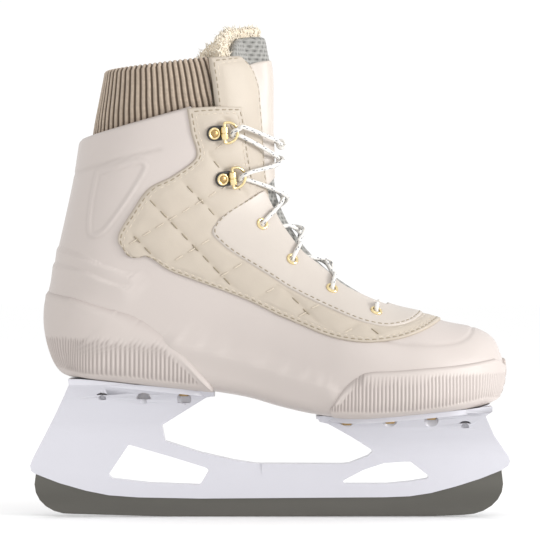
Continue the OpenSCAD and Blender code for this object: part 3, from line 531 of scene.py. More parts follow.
# ---- Moulded boot ----
SHELL_EDGE = ([0, 5.6, 6.6, 8, 9.3, 11.5, 14.7, 19.5, 22, 23.5, 24.9, 26.1, 27.2],
              [180, 180, 142, 127, 121, 117, 112, 104, 99, 105, 115, 111, 102])
RIM = [[-116.6, 228.6], [-91.3, 236.2], [-70.2, 241.8], [-48, 248]]
TRIANGLE = [[-103.5, 208.9], [-91, 212.6], [-78.4, 215.4], [-74.4, 212.6], [-76.5, 207],
            [-85, 193.5], [-94.2, 180.5], [-100.2, 173.5], [-105.6, 171.2], [-108.6, 174.5],
            [-107.4, 190], [-104.6, 205], [-103.5, 208.9]]
GROOVES = [[[-119, 208.2], [-104, 213], [-90, 217], [-66, 222.6]],
           [[123.6, 116.6], [121.8, 112], [117.2, 108.2], [111, 106.2], [97.9, 104.9],
            [80, 105.8], [66, 108.4]]]
HEEL_LINES = [[[-131, 164.8], [-113.2, 158.8], [-102.3, 154], [-91.3, 150.1], [-77.7, 144.6]],
              [[-134, 155], [-118.6, 151.7], [-109.9, 149.1], [-100.1, 144.6], [-84, 139.4]]]
MID_RIDGE = [[-62.3, 111.4], [-46, 106.4], [-28.5, 101.5], [-8.7, 96.2], [11.1, 89.6],
             [31, 83.6], [40.2, 79.7]]


STEP_FADE = 14


def groove(p, line, depth, width):
    d = line_distance(p, smooth_line(line, 50))
    k = bell(d, width)
    return -depth * k, k


def step(p, line, height, width):
    """Raised below the line, and fading out over STEP_FADE."""
    d = -line_distance(p, smooth_line(line, 50))
    x = p[..., 0]
    ends = np.minimum(ease((x - line[0][0] + 6) / 12), ease((line[-1][0] + 6 - x) / 12))
    return height * ease(d / width + 0.5) * (1 - ease(d / STEP_FADE)) * ends


def shell_relief(s, q):
    p = form(s, q)[..., [0, 2]]
    # Painted shade: darker along the rim groove, the other grooves and on both sides of the ridge
    # round the triangle, where shadow falls
    depth, painted_shade = groove(p, RIM, 0.9, 0.8)
    rim = line_distance(p, smooth_line(RIM, 30))
    depth = depth + 0.5 * ease(rim / 1.2)
    for line in GROOVES:
        d, k = groove(p, line, 0.5, 1.0)
        depth, painted_shade = depth + d, np.maximum(painted_shade, 0.6 * k)
    closed = np.array(TRIANGLE)
    d = line_distance(p, smooth_line(closed, 70))
    depth = depth + 0.7 * bell(d, 1.1)
    painted_shade = np.maximum(painted_shade, 0.35 * bell(np.abs(d) - 1.9, 0.8))
    for line in HEEL_LINES:
        depth = depth + step(p, line, 1.5, 1.1)
    depth = depth + step(p, MID_RIDGE, 1.9, 1.4)
    return depth, 0.6 * painted_shade


def boot_shell():
    s = np.concatenate([np.linspace(0, 1, 12)[:-1] ** 2, np.linspace(1, 27.2, 330)])
    k = np.linspace(-1, 1, 231)
    q = np.interp(s, *SHELL_EDGE)[:, None] * k
    s = np.repeat(s[:, None], len(k), 1)
    depth, painted_shade = shell_relief(s, q)
    outer = form(s, q, depth)
    left, right, _, bottom = edge_lengths(outer)
    open_edge = np.abs(q) < 179
    fall = np.where(open_edge, soft_min([left, right, bottom]), 9)
    outer = form(s, q, depth - 1.4 * (1 - rounded(fall, 1.5)))
    sheet("boot_shell", outer, form(s, q, -SHELL_T), "shell", "shell", ["boot_shell"], painted_shade)


def band_rows(foot, top):
    t = np.linspace(0, len(foot) - 1, 6 * len(foot))
    lo, hi = (spot(spline(np.array(line, float), t)) for line in (foot, top))
    k = np.linspace(0, 1, 5)[None, :, None]
    rows = lo[:, None] * (1 - k) + hi[:, None] * k
    return rows * [1, -1]


def even_rows(rows, m, n):
    """A finer grid of [s, q] places, with its rows evenly spaced along the strip."""
    flat = rows.reshape(len(rows), -1)
    t = np.linspace(0, len(rows) - 1, 12 * len(rows))
    fine = spline(flat, t).reshape(-1, *rows.shape[1:])
    p = form(np.maximum(fine[..., 0], 0), fine[..., 1])
    length = np.concatenate([[0], np.cumsum(np.linalg.norm(np.diff(p, axis=0), axis=-1).mean(1))])
    grid = spline(flat, np.interp(np.linspace(0, length[-1], m), length, t))
    grid = grid.reshape(m, *rows.shape[1:])
    k = np.linspace(0, 1, n)
    grid = grid[:, :1] * (1 - k[None, :, None]) + grid[:, -1:] * k[None, :, None]
    grid[..., 0] = np.maximum(grid[..., 0], 0)
    return grid, length[-1]


def bumper(name, rows, ribs_from, ribs_to, pitch, lip):
    """Band moulded on the shell, with upright ribs between two heights given by x."""
    m, n = 620, 36
    grid, length = even_rows(rows, m, n)
    s, q = grid[..., 0], grid[..., 1]
    p = form(s, q)
    along = np.linspace(0, length, m)[:, None]
    low = np.interp(p[..., 0], *np.array(ribs_from, float).T)
    high = np.interp(p[..., 0], *np.array(ribs_to, float).T)
    window = ease((p[..., 2] - low) / 1.2) * ease((high - p[..., 2]) / 1.2)
    half = m // 2
    way = np.sign(p[half, 0, 0])
    middle = p[:half, n // 2, 0] * way
    reach = np.interp(p[..., 0] * way, middle, along[:half, 0])
    reach = np.where(np.arange(m)[:, None] < half, reach, length - reach)
    near_end = ease((p[..., 0] * way - middle[-1] + 22) / 10)
    reach = reach + (along - reach) * near_end
    wave = (0.5 - 0.5 * np.cos(2 * math.pi * reach / pitch)) ** 1.5
    left, right, top, bottom = edge_lengths(p)
    edge = soft_min([left, right, top, bottom])
    off = 0.2 + 1.1 * rounded(edge, 1.3) + lip * bell(right - 1.9, 1.1)
    off = off - 0.55 * window * wave
    # Painted shade: darker in the valleys between the ribs and along the band's top edge
    painted_shade = np.clip(window * wave * 0.9 + 0.5 * bell(right, 0.7), 0, 1)
    sheet(name, form(s, q, off), form(s, q, -0.5), "bumper", "bumper", [name], painted_shade)


def heel_bumper():
    side = band_rows(HEEL_FOOT, HEEL_TOP)
    middle = np.stack([np.linspace(18.6, 22.7, 5), np.zeros(5)], -1)
    start = side[-1]
    back = [np.stack([start[:, 0] + (middle[:, 0] - start[:, 0]) * math.sin(math.pi / 2 * k),
                      start[:, 1] * (1 - k)], -1) for k in np.linspace(0, 1, 17)[1:-1]]
    half = np.concatenate([side, back])
    rows = np.concatenate([half, middle[None], mirror_rows(half)[::-1]])
    bumper("heel_bumper", rows, [[-127, 92], [-112, 88.3], [-80.6, 86.2], [-49.5, 82.4]],
           [[-127, 110.7], [-66, 105.2], [-55.6, 95.7], [-49.5, 90.5], [-40, 81]], 2.4, 0.5)


def toe_bumper():
    side = band_rows(TOE_FOOT, TOE_TOP)
    tips = [np.stack([np.full(5, s), side[-1, :, 1]], -1) for s in (1.7, 1.4, 1.1, 0.8, 0.5, 0.2, 0)]
    half = np.concatenate([side, tips])
    rows = np.concatenate([half, mirror_rows(half)[::-1][1:]])
    bumper("toe_bumper", rows, [[42, 66], [63, 65.6], [84, 66.4], [105, 69], [128, 73.4]],
           [[42, 71], [48.1, 78.9], [56.6, 85.2], [73.4, 85.7], [94.5, 87.3], [130, 88.3]],
           2.3, 0.4)


# ---- Leather panels ----
def u_rows(rear, front, middle_rear, middle_front):
    """Rows of a panel that runs round the toe, from its lateral end to its medial end."""
    k = np.linspace(0, 1, 6)[None, :, None]
    half = unfold(rear)[:, None] * (1 - k) + unfold(front)[:, None] * k
    middle = np.stack([np.linspace(middle_rear, middle_front, 6), np.zeros(6)], -1)
    return np.concatenate([half, middle[None], mirror_rows(half)[::-1]])


# The two families of quilt lines: the way across them, the first line's place, and the pitch
QUILT = (((0.725, 0.688), 124.0, 21.9), ((-0.515, 0.857), 208.1, 22.4))
QUILT_W, SEAM_W = 1.6, 0.8
QUARTER_OFF, STAY_OFF = 1.5, 2.3
STITCH_PITCH, FRONT_SEAM_L = 4.3, 52


def quilt_distance(p):
    """Distance from the nearest line of the two families of quilt lines."""
    near = []
    for way, start, pitch in QUILT:
        k = (p[..., 0] * way[0] + p[..., 1] * way[1] - start) / pitch
        near.append(np.abs(k - np.round(k)) * pitch)
    return near


def panel(rows, m, n):
    """A panel's fine grid, its places on the form, its edge distances and their soft minimum."""
    grid = resampled(rows, m, n)
    s, q = fold(grid)
    lengths = edge_lengths(form(s, q))
    return grid, s, q, lengths, soft_min(lengths)


def quarters():
    rows = u_rows(QUARTER_REAR, QUARTER_FRONT, QUARTER_MIDDLE, STAY_MIDDLE + 0.15)
    grid, s, q, lengths, edge = panel(rows, 640, 46)
    near_a, near_b = quilt_distance(form(s, q)[..., [0, 2]])
    inside = ease((edge - 5.5) / 2)
    valley = inside * (bell(near_a, QUILT_W) + 0.8 * bell(near_b, QUILT_W))
    puff = inside * 0.5 * ease(np.minimum(near_a, near_b) / 8)
    seam = 0.3 * bell(edge - 2.3, SEAM_W) + 0.25 * bell(edge - 4.4, SEAM_W)
    off = 0.2 + (QUARTER_OFF - 0.2) * rounded(edge, 1.2) + puff - 0.35 * valley - seam
    # Painted shade: darker in the quilt valleys and along the panel's edge
    painted_shade = np.clip(0.25 * valley + 0.5 * bell(edge, 0.5), 0, 1)
    sheet("quarters", form(s, q, off), form(s, q, -0.2), "quilted", "quilted_leather",
          ["quarter_lateral", "quarter_medial"], painted_shade)
    return grid, lengths


def eyestay():
    rows = u_rows(STAY_REAR, STAY_FRONT, STAY_MIDDLE - 0.05, THROAT_MIDDLE)
    grid, s, q, lengths, edge = panel(rows, 420, 40)
    seam = 0.35 * bell(lengths[0] - 2.0, SEAM_W)
    off = 0.3 + (STAY_OFF - 0.3) * rounded(edge, 1.4) - seam
    # Painted shade along the panel's edge
    painted_shade = np.clip(0.55 * bell(edge, 0.5), 0, 1)
    sheet("eyestay", form(s, q, off), form(s, q, 0.1), "smooth", "smooth_leather",
          ["eyestay_lateral", "eyestay_medial"], painted_shade)
    return grid, lengths


def inset_line(grid, distance, inset, rows):
    """Places [s, q] at a set distance inside the edge that the rows start from."""
    line = []
    for i in rows:
        j = np.interp(inset, distance[i], np.arange(distance.shape[1]))
        a, b = grid[i, int(j)], grid[i, min(int(j) + 1, grid.shape[1] - 1)]
        line.append(a + (b - a) * (j - int(j)))
    return np.array(line)


def on_form_line(line):
    return np.stack(fold(line), -1)


def panel_stitching(quarter, stay):
    grid, (left, right, top, bottom) = quarter
    m, n = grid.shape[:2]
    for name, inset, length, radius, mat in (
            ("quarter_stitching", 2.3, 2.9, 0.42, "thread"),
            ("quarter_inner_stitching", 4.4, 2.7, 0.34, "light_thread")):
        rows = [i for i in range(m) if top[i, 0] > inset and bottom[i, 0] > inset]
        lines = [inset_line(grid, left, inset, rows)]
        for way, end in ((1, top), (-1, bottom[::-1])):
            view, near, far = grid[::way], left[::way], right[::way]
            cols = [j for j in range(n) if near[0, j] > inset and far[0, j] > inset]
            lines.append(inset_line(view.swapaxes(0, 1), end.T, inset, cols))
            down = [i for i in range(m // 2) if inset < end[i, -1] < FRONT_SEAM_L]
            lines.append(inset_line(view[:, ::-1], far[:, ::-1], inset, down))
        stitches(name, [on_form_line(line) for line in lines], QUARTER_OFF - 0.25, STITCH_PITCH,
                 length, radius, mat, "quilted_leather")
    grid, (left, _, top, bottom) = stay
    rows = [i for i in range(len(grid)) if top[i, 0] > 2 and bottom[i, 0] > 2]
    edge = on_form_line(inset_line(grid, left, 2.0, rows))
    stitches("eyestay_stitching", [edge], STAY_OFF - 0.3, 4.0, 2.6, 0.4, "thread",
             "smooth_leather")


def quilt_threads(quarter):
    """Dashes along both families of quilt lines, kept inside the panel's stitched edge."""
    grid, lengths = quarter
    edge = np.minimum(np.minimum(lengths[0], lengths[1]), np.minimum(lengths[2], lengths[3]))
    s, q = fold(grid)
    p = form(s, q, QUARTER_OFF)
    normals = normal_at(s, q, QUARTER_OFF)[1]
    half = len(grid) // 2
    for name, (way, start, pitch), mat in (("quilting_down", QUILT[0], "thread"),
                                           ("quilting_up", QUILT[1], "light_thread")):
        along = np.array([way[1], -way[0]])
        centres, ways, outs = [], [], []
        for rows in (slice(0, half), slice(half, None)):
            pp, nn, ee = p[rows], normals[rows], edge[rows]
            xz = pp[..., [0, 2]]
            k = (xz @ np.array(way) - start) / pitch
            for line in range(int(k.min()) - 1, int(k.max()) + 2):
                for at in np.arange(-260, 260, 9.2):
                    target = np.array(way) * (start + line * pitch) + along * at
                    d = ((xz - target) ** 2).sum(-1)
                    i = np.unravel_index(d.argmin(), d.shape)
                    if d[i] > 1.5 or ee[i] < 7:
                        continue
                    n = nn[i]
                    t3 = np.array([way[1], 0, -way[0]], float)
                    t3 = t3 - n * (t3 @ n)
                    c = pp[i].copy()
                    c[[0, 2]] = target
                    centres.append(c - 0.15 * n)
                    ways.append(t3 / np.linalg.norm(t3))
                    outs.append(n)
        verts, faces = capsules(centres, ways, outs, 5.7, 0.42)
        make(name, verts, faces, mat, "quilted_leather")


def collar_flap(side, name):
    lo, hi = spot(FLAP_REAR), spot(FLAP_FRONT)
    k = np.linspace(0, 1, 5)[None, :, None]
    rows = (lo[:, None] * (1 - k) + hi[:, None] * k) * [1, side]
    grid, _ = even_rows(rows, 110, 34)
    s, q = grid[..., 0], grid[..., 1]
    p = form(s, q)
    left, right, top, _ = edge_lengths(p)
    edge = soft_min([left, right, top])
    seams = 0.3 * bell(edge - 2.2, SEAM_W) + 0.3 * bell(edge - 4.4, SEAM_W)
    off = -2.1 + 2.1 * rounded(edge, 2.0) + 0.7 * ease(edge / 9) - seams
    # Painted shade along the flap's edge
    painted_shade = np.clip(0.5 * bell(edge, 0.5), 0, 1)
    back = form(s, q, -2.3 + 0.1 * (1 - rounded(edge, 2.0)))
    flap = sheet(name, form(s, q, off), back, "quilted", "quilted_leather", [name], painted_shade)
    for inset, mat, place in ((2.2, "thread", "outer"), (4.4, "light_thread", "inner")):
        rows = [i for i in range(len(grid)) if top[i, 0] > inset]
        cols = [j for j in range(grid.shape[1]) if left[0, j] > inset and right[0, j] > inset]
        lines = [inset_line(grid, left, inset, rows),
                 inset_line(grid[:, ::-1], right[:, ::-1], inset, rows),
                 inset_line(grid.swapaxes(0, 1), top.T, inset, cols)]
        stitches(f"{name}_stitching_{place}", lines, -0.1, STITCH_PITCH, 2.8, 0.36, mat,
                 "quilted_leather")


# ---- Knit cuff, liner, tongue and fur ----
RIB_PITCH, RIB_LEAN = 3.4, 1.5


def ribbing(run, up):
    """Share and height of the ribs, which lean a little backwards towards the top."""
    lean = RIB_LEAN * up * np.sign(run)
    rib = 0.5 + 0.5 * np.cos(2 * math.pi * (run + lean) / RIB_PITCH)
    return rib, -1.0 * (1 - rib ** 0.55)


def knit_cuff():
    """Ribbed cuff: a flat loop of cloth with a rounded top, its ribs running up and down."""
    top_s, low_s, half_q, thick = 29.78, 26.7, 118.5, 3.0
    q = np.linspace(-half_q, half_q, 900)
    mid = np.interp(np.abs(q), [0, 60, 118], [-8.5, -6, -3.8]) - thick
    p = form(28.5, q, mid)
    run = np.concatenate([[0], np.cumsum(np.linalg.norm(np.diff(p, axis=0), axis=-1))])
    run = run - run[len(run) // 2]
    ends = soft_min([run - run[0], run[-1] - run])
    # Painted shade: darker in the grooves between the ribs, on both faces and over the rounded top
    rows, painted_shades = [], []
    for s in np.linspace(low_s, top_s, 40):
        rib, height = ribbing(run, s - low_s)
        rows.append(form(s, q, mid + thick * rounded(ends, 2.5) + height))
        painted_shades.append(ease((0.62 - rib) / 0.5))
    centre, out = normal_at(np.full_like(q, top_s), q, mid)
    up = form(top_s + 0.1, q, mid) - form(top_s, q, mid)
    up = up / np.linalg.norm(up, axis=-1)[:, None]
    for a in np.radians(np.linspace(0, 180, 15)[1:-1]):
        r = (thick * rounded(ends, 2.5) + height)[:, None]
        rows.append(centre + out * r * math.cos(a) + up * r * math.sin(a))
        painted_shades.append(ease((0.62 - rib) / 0.5))
    for s in np.linspace(top_s, low_s, 20):
        rib, height = ribbing(run, s - low_s)
        rows.append(form(s, q, mid - thick * rounded(ends, 2.5) - height))
        painted_shades.append(ease((0.62 - rib) / 0.5))
    grid = np.array(rows)
    m, n = grid.shape[:2]
    faces = grid_faces(m, n)
    faces += [(j, j + 1, (m - 1) * n + j + 1, (m - 1) * n + j) for j in range(n - 1)]
    faces += [tuple(i * n + k for i in range(m)) for k in (0, n - 1)]
    painted_shade = np.array(painted_shades)
    cuff = make("knit_cuff", grid, faces, "knit", "knit", ["knit_cuff"], painted_shade=painted_shade)


def liner():
    edge = ([0, 7, 8.2, 30], [180, 180, 134, 134])
    s = np.concatenate([np.linspace(0, 1, 8)[:-1] ** 2, np.linspace(1, 26.6, 150)])
    k = np.linspace(-1, 1, 141)
    q = np.interp(s, *edge)[:, None] * k
    s = np.repeat(s[:, None], len(k), 1)
    p = form(s, q)
    left, right, _, bottom = edge_lengths(p)
    fall = np.where(np.abs(q) < 179, soft_min([left, right, bottom]), 20)
    quilt = 0.8 * np.sin(p[..., 0] / 9) * np.sin(p[..., 2] / 9)
    inner = -SHELL_T - 1 - LINER_T * (0.25 + 0.75 * rounded(fall, 5)) + 0.25 * quilt
    verts, faces = closed_sheet(form(s, q, inner), form(s, q, -SHELL_T - 1))
    make("liner", verts, faces, "lining", "lining", ["liner"])


# How far the tongue swells in front of the form, by section number
SWELLING = ([8, 13, 16, 20, 24, 26, 28, 30, 31, 32], [-0.4, 0, 1, 2, 3, 4.2, 6.2, 8.4, 9.6, 9])
TONGUE_DEPTH, TONGUE_EDGE, TONGUE_T = 3.6, 16, 4.5
HOLE_ROW, HOLE_PITCH, HOLE_W = 2.6, 2.2, 0.75


def tongue_skin(s, q):
    w = np.maximum(0, 1 - ((180 - np.abs(q)) / TONGUE_EDGE) ** 2)
    depth = TONGUE_DEPTH - 2.6 * (1 - ease((s - 7.4) / 1.2))
    return -depth + (depth + np.interp(s, *SWELLING)) * w * w


def tongue_places(first, last, half, drop, m, n):
    """Places [s, q] across the instep, with the upper corners rounded off."""
    v = np.linspace(-half, half, n)[None, :]
    end = last - drop * np.abs(v / half) ** 3
    s = first + (end - first) * np.linspace(0, 1, m)[:, None]
    return s, np.where(v < 0, -1.0, 1.0) * (180 - np.abs(v)) + 0 * s


def tongue_layer(s, q, low, high, edge_r):
    edge = soft_min(edge_lengths(form(s, q, tongue_skin(s, q))))
    half = (high - low) / 2 * rounded(edge, edge_r)
    middle = tongue_skin(s, q) + (low + high) / 2
    return form(s, q, middle + half), form(s, q, middle - half)


def tongue():
    s, q = tongue_places(6.9, 31.2, 40, 1.2, 260, 90)
    front, back = tongue_layer(s, q, -TONGUE_T + 2.3 * (1 - ease((s - 7.4) / 1.2)), 0, 2.2)
    verts, faces = closed_sheet(front, back)
    # Painted shade: dark spots in a staggered grid stand for the mesh's holes, through which only
    # shadow shows
    z, y = verts[:, 2], verts[:, 1]
    row = np.round(z / HOLE_ROW)
    side = ((y / HOLE_PITCH + 0.5 * (row % 2)) + 0.5) % 1 - 0.5
    painted_hole_shade = np.exp(-(((z - row * HOLE_ROW) / HOLE_W) ** 2 + (side * HOLE_PITCH / HOLE_W) ** 2))
    piece = make("tongue", verts, faces, "mesh", "mesh", ["tongue"], painted_shade=painted_hole_shade)
    s, q = tongue_places(17, 29.4, 22, 0.5, 120, 60)
    front, back = tongue_layer(s, q, 0.1, 1.1, 0.8)
    verts, faces = closed_sheet(front, back)
    make("tongue_patch", verts, faces, "smooth", "smooth_leather", ["tongue_patch"],
                   painted_shade=np.zeros(len(verts)))


FUR_T, FUR_TUFTS = 5.2, 2600


def tongue_fur():
    s, q = tongue_places(24.6, 31.9, 72, 2.4, 70, 90)
    v = 180 - np.abs(q)
    lean = ease((v - 38) / 8)
    top = 4.6 * ease((s - 30.9) / 0.8) * (1 - lean)
    skin = (tongue_skin(s, q) - TONGUE_T - 0.2) * (1 - lean) - 2.6 * lean
    skin = skin + top - 7.8 * ease((v - 53) / 7)
    edge = soft_min(edge_lengths(form(s, q, skin)))
    half = FUR_T / 2 * rounded(edge, FUR_T / 2)
    front, back = form(s, q, skin - FUR_T / 2 + half), form(s, q, skin - FUR_T / 2 - half)
    rng = np.random.default_rng(11)
    verts, faces = closed_sheet(front, back)
    # Painted shade: the sheet under the tufts is darkened, and each tuft is darker at its root,
    # fading to none at its tip, as shadow falls deep in the pile
    painted_shade = np.full(len(verts), 0.8)
    m, n = front.shape[:2]
    verts, painted_shade = list(verts), list(painted_shade)
    sides, rings = 4, 5
    for face, sign in ((front, 1), (back, -1)):
        for _ in range(FUR_TUFTS):
            i = min(m - 2, int(m * rng.random() ** 0.55))
            j = rng.integers(1, n - 1)
            o = face[i, j] + (face[i + 1, j] - face[i, j]) * rng.random()
            u = face[min(i + 1, m - 1), j] - face[i, j]
            v = face[i, min(j + 1, n - 1)] - face[i, j]
            out = np.cross(u, v) * sign
            size = np.linalg.norm(out)
            if size < 1e-6:
                continue
            out = out / size
            up = np.array([0.0, 0.0, 1.0])
            way = out * rng.uniform(0.4, 0.9) + up * rng.uniform(0.1, 0.9) + rng.normal(0, 0.35, 3)
            way = way / np.linalg.norm(way)
            curl = rng.normal(0, 0.85, 3)
            high = i / m
            length = rng.uniform(2.4, 4.4) * (0.35 + 0.65 * ease((high - 0.55) / 0.2))
            radius = rng.uniform(0.32, 0.6)
            start = len(verts)
            at = o - out * 0.6
            side_a = np.cross(way, [0.3, 0.9, 0.2])
            side_a = side_a / np.linalg.norm(side_a)
            side_b = np.cross(way, side_a)
            for ring in range(rings):
                t = ring / (rings - 1)
                r = radius * (1 - t) ** 0.7 + 0.03
                for k in range(sides):
                    a = 2 * math.pi * k / sides
                    verts.append(at + r * (math.cos(a) * side_a + math.sin(a) * side_b))
                    painted_shade.append(0.55 * (1 - t))
                way = way + curl * 0.35
                way = way / np.linalg.norm(way)
                at = at + way * length / (rings - 1)
            faces += grid_faces(rings, sides, start, wrap=True)
            faces.append(tuple(start + k for k in range(sides)))
            faces.append(tuple(start + (rings - 1) * sides + k for k in range(sides)))
    make("tongue_fur", verts, faces, "fur", "fur", ["tongue_fur"], painted_shade=painted_shade)


# ---- Frames on the form, for the eyelets, hooks and rings ----
EYELETS = [[-5.5, 176.8], [13, 155.3], [37.2, 137.6], [64, 124]]
HOOKS = [[-34.6, 231.8], [-29.8, 204.2]]
HOOK_LEAN = (5, 9)
HOOK_LIFT = LEATHER_T + 2 * GAP
BARREL_D, BARREL_L, BARREL_X, BARREL_Z = 4.4, 7.6, 6, 2.5
RING_R = (RING_W + RING_WIRE_D) / 2


def frame_at(p, side, off):
    """Origin, outward, upward and forward directions at a place of the side view."""
    s, q = spot(p)
    q = q * side
    o = form(s, q, off)
    n = np.cross(form(s, q + 0.5 * side, off) - o, form(s + 0.05, q, off) - o)
    n = n * np.sign(n[1] * side) / np.linalg.norm(n)
    z = np.array([0, 0, 1]) - n * n[2]
    z = z / np.linalg.norm(z)
    return o, n, z, np.cross(z, n) * -side


def hook_frame(i, side):
    o, n, z, x = frame_at(HOOKS[i], side, HOOK_LIFT)
    a = math.radians(HOOK_LEAN[i])
    return o, n, z * math.cos(a) - x * math.sin(a), x * math.cos(a) + z * math.sin(a)


def placed(f, local):
    local = np.asarray(local, float)
    return f[0] + local[..., 0:1] * f[3] + local[..., 1:2] * f[2] + local[..., 2:3] * f[1]


def revolved(profile, n=40):
    """Grid of points from a closed profile (radius, height) turned about the local Z axis."""
    a = np.linspace(0, 2 * math.pi, n, endpoint=False)
    rows = [np.stack([r * np.cos(a), r * np.sin(a), np.full(n, z)], -1) for r, z in profile]
    faces = grid_faces(len(profile), n, wrap=True)
    return np.array(rows).reshape(-1, 3), faces


def joined(parts):
    verts, faces, start = [], [], 0
    for v, f in parts:
        verts.append(np.asarray(v, float).reshape(-1, 3))
        faces += [tuple(k + start for k in ring) for ring in f]
        start += len(verts[-1])
    return np.concatenate(verts), faces


EYELET_PROFILE = [(2.05, -1.4), (2.05, 0.35), (2.2, 0.8), (2.6, 1.05), (3.05, 1.05), (3.5, 0.8),
                  (3.75, 0.4), (3.8, 0), (3.75, -0.25), (3.2, -0.3), (3.1, -1.4), (2.05, -1.4)]


def eyelets(side, name):
    parts = []
    for p in EYELETS:
        f = frame_at(p, side, STAY_OFF)
        v, faces = revolved(EYELET_PROFILE)
        parts.append((placed(f, v), faces))
    make(name, *joined(parts), "gold", "gold", [name], sharp=50)


def tab_outline(r, front, half, n=18):
    pts = [(r * math.cos(a), r * math.sin(a)) for a in np.linspace(math.pi / 2, 1.5 * math.pi, n)]
    corner = 0.8
    for sign, angles in ((-1, (-90, 0)), (1, (0, 90))):
        for a in np.radians(np.linspace(*angles, 5)):
            pts.append((front - corner + corner * math.cos(a),
                        sign * (half - corner) + corner * math.sin(a)))
    return np.array(pts)


def hook(i, side, name):
    """Black tab with a rounded rear end, and the barrel that carries the ring."""
    outline = tab_outline(4.6, BARREL_X - 0.6, 4.5)
    rows = []
    for z, inset in ((0, 0.25), (0.25, 0), (0.85, 0), (1.15, 0.12), (1.3, 0.45)):
        k = 1 - inset / 4.6
        rows.append(np.stack([outline[:, 0] * k, outline[:, 1] * k, np.full(len(outline), z)], -1))
    n = len(outline)
    faces = grid_faces(len(rows), n, wrap=True)
    faces += [tuple(range(n)), tuple(range((len(rows) - 1) * n, len(rows) * n))]
    f = hook_frame(i, side)
    make(name, placed(f, np.array(rows).reshape(-1, 3)), faces, "black", "black_plate", [name],
         sharp=40)
    r, bore, h = BARREL_D / 2, RING_WIRE_D / 2 + 0.08, BARREL_L / 2
    profile = [(bore, -h), (r - 0.35, -h), (r - 0.08, -h + 0.12), (r, -h + 0.4), (r, -0.35),
               (r - 0.3, -0.12), (r - 0.3, 0.12), (r, 0.35), (r, h - 0.4), (r - 0.08, h - 0.12),
               (r - 0.35, h), (bore, h), (bore, -h)]
    v, faces = revolved(profile, 28)
    v = np.stack([v[:, 0] + BARREL_X, v[:, 2], v[:, 1] + BARREL_Z], -1)
    make(f"{name}_barrel", placed(f, v), faces, "gold", "gold", sharp=40)


def hook_rivets():
    rings, domes = [], []
    for i in (0, 1):
        for side in (LATERAL, MEDIAL):
            f = hook_frame(i, side)
            v, faces = revolved([(2.3, 1.25), (2.35, 1.75), (2.7, 2.05), (3.2, 2.05), (3.6, 1.75),
                                 (3.75, 1.3), (2.3, 1.25)])
            rings.append((placed(f, v), faces))
            dome = [(2.35, 1.2)] + [(2.35 * math.cos(a), 1.45 + 0.75 * math.sin(a))
                                    for a in np.radians(np.linspace(0, 86, 9))]
            v, faces = revolved(dome + [(0.001, 2.2)], 32)
            faces.append(tuple(range(31, -1, -1)))
            domes.append((placed(f, v), faces))
    make("hook_rivet_collars", *joined(rings), "gold", "gold", ["hook_rivets"], sharp=50)
    make("hook_rivet_heads", *joined(domes), "rivet", "gold", sharp=60)


def swept(path, radius, sides, closed=False, relief=None):
    """Tube along the path. relief(k, length) gives its radius share at each point."""
    path = np.asarray(path, float)
    n = len(path)
    if closed:
        way = np.roll(path, -1, 0) - np.roll(path, 1, 0)
    else:
        way = np.gradient(path, axis=0)
    way = way / np.linalg.norm(way, axis=1)[:, None]
    u = np.cross(way[0], [0.3, 0.2, 1])
    verts, at = [], 0.0
    for i in range(n):
        u = u - way[i] * (u @ way[i])
        u = u / np.linalg.norm(u)
        w = np.cross(way[i], u)
        if i:
            at += np.linalg.norm(path[i] - path[i - 1])
        for k in range(sides):
            a = 2 * math.pi * k / sides
            r = radius * (relief(k, at) if relief else 1)
            verts.append(path[i] + r * (math.cos(a) * u + math.sin(a) * w))
    faces = grid_faces(n, sides, wrap=True)
    if not closed:
        faces += [tuple(range(sides)), tuple(range((n - 1) * sides, n * sides))]
    return np.array(verts), faces


def ring(i, side, name):
    """D-shaped wire ring. It rides on its own body and turns in the barrel."""
    f = hook_frame(i, side)
    straight = RING_REACH - RING_R
    loop = [(0, y, 0) for y in np.linspace(-RING_R + 1, RING_R - 1, 14)]
    loop += [(1 - math.cos(a), RING_R - 1 + math.sin(a), 0)
             for a in np.radians(np.linspace(15, 75, 5))]
    loop += [(straight + RING_R * math.sin(a), RING_R * math.cos(a), 0)
             for a in np.radians(np.linspace(0, 180, 31))]
    loop += [(1 - math.cos(a), -RING_R + 1 - math.sin(a), 0)
             for a in np.radians(np.linspace(75, 15, 5))]
    path = placed(f, np.array(loop) + [BARREL_X, 0, BARREL_Z])
    n, sides = len(path), 12
    verts, faces = swept(path, RING_WIRE_D / 2 - 0.05, sides, closed=True)
    faces += [((n - 1) * sides + k, (n - 1) * sides + (k + 1) % sides, (k + 1) % sides, k)
              for k in range(sides)]
    make(name, verts, faces, "gold", "gold", [name], body=name)


# ---- Lace: the route repeats part.scad ----
LACE_DEPTH, KNOT_W = 1.8, 8


def seat(x, z, off, side):
    s, q = spot([x, z])
    return form(s, q * side, off)


def eyelet_pass(i, x1, z1, x2, z2, side):
    x, z = EYELETS[i]
    return [seat(x1, z1, -LACE_DEPTH, side),
            seat(x + (x1 - x) * 0.14, z + (z1 - z) * 0.14, -LACE_DEPTH, side),
            seat(x, z, 0.9, side),
            seat(x + (x2 - x) * 0.12, z + (z2 - z) * 0.12, 3.2, side),
            seat(x + (x2 - x) * 0.5, z + (z2 - z) * 0.5, 4.4, side),
            seat(x2, z2, 4.4, side)]


def ring_pass(i, side):
    local = [[12, -3.4, -2.8], [8.4, -3, -3.2], [5.6, -2.2, -2.2], [4.6, -0.6, 0.2],
             [5.4, 1.2, 2.8], [8.2, 2.2, 3.8], [12, 2.8, 3]]
    return list(placed(hook_frame(i, side), np.array(local) + [BARREL_X, 0, BARREL_Z]))


def crossing(x, z, side, level, over):
    return np.array([x, side * 3, z]) + level * np.array(over)


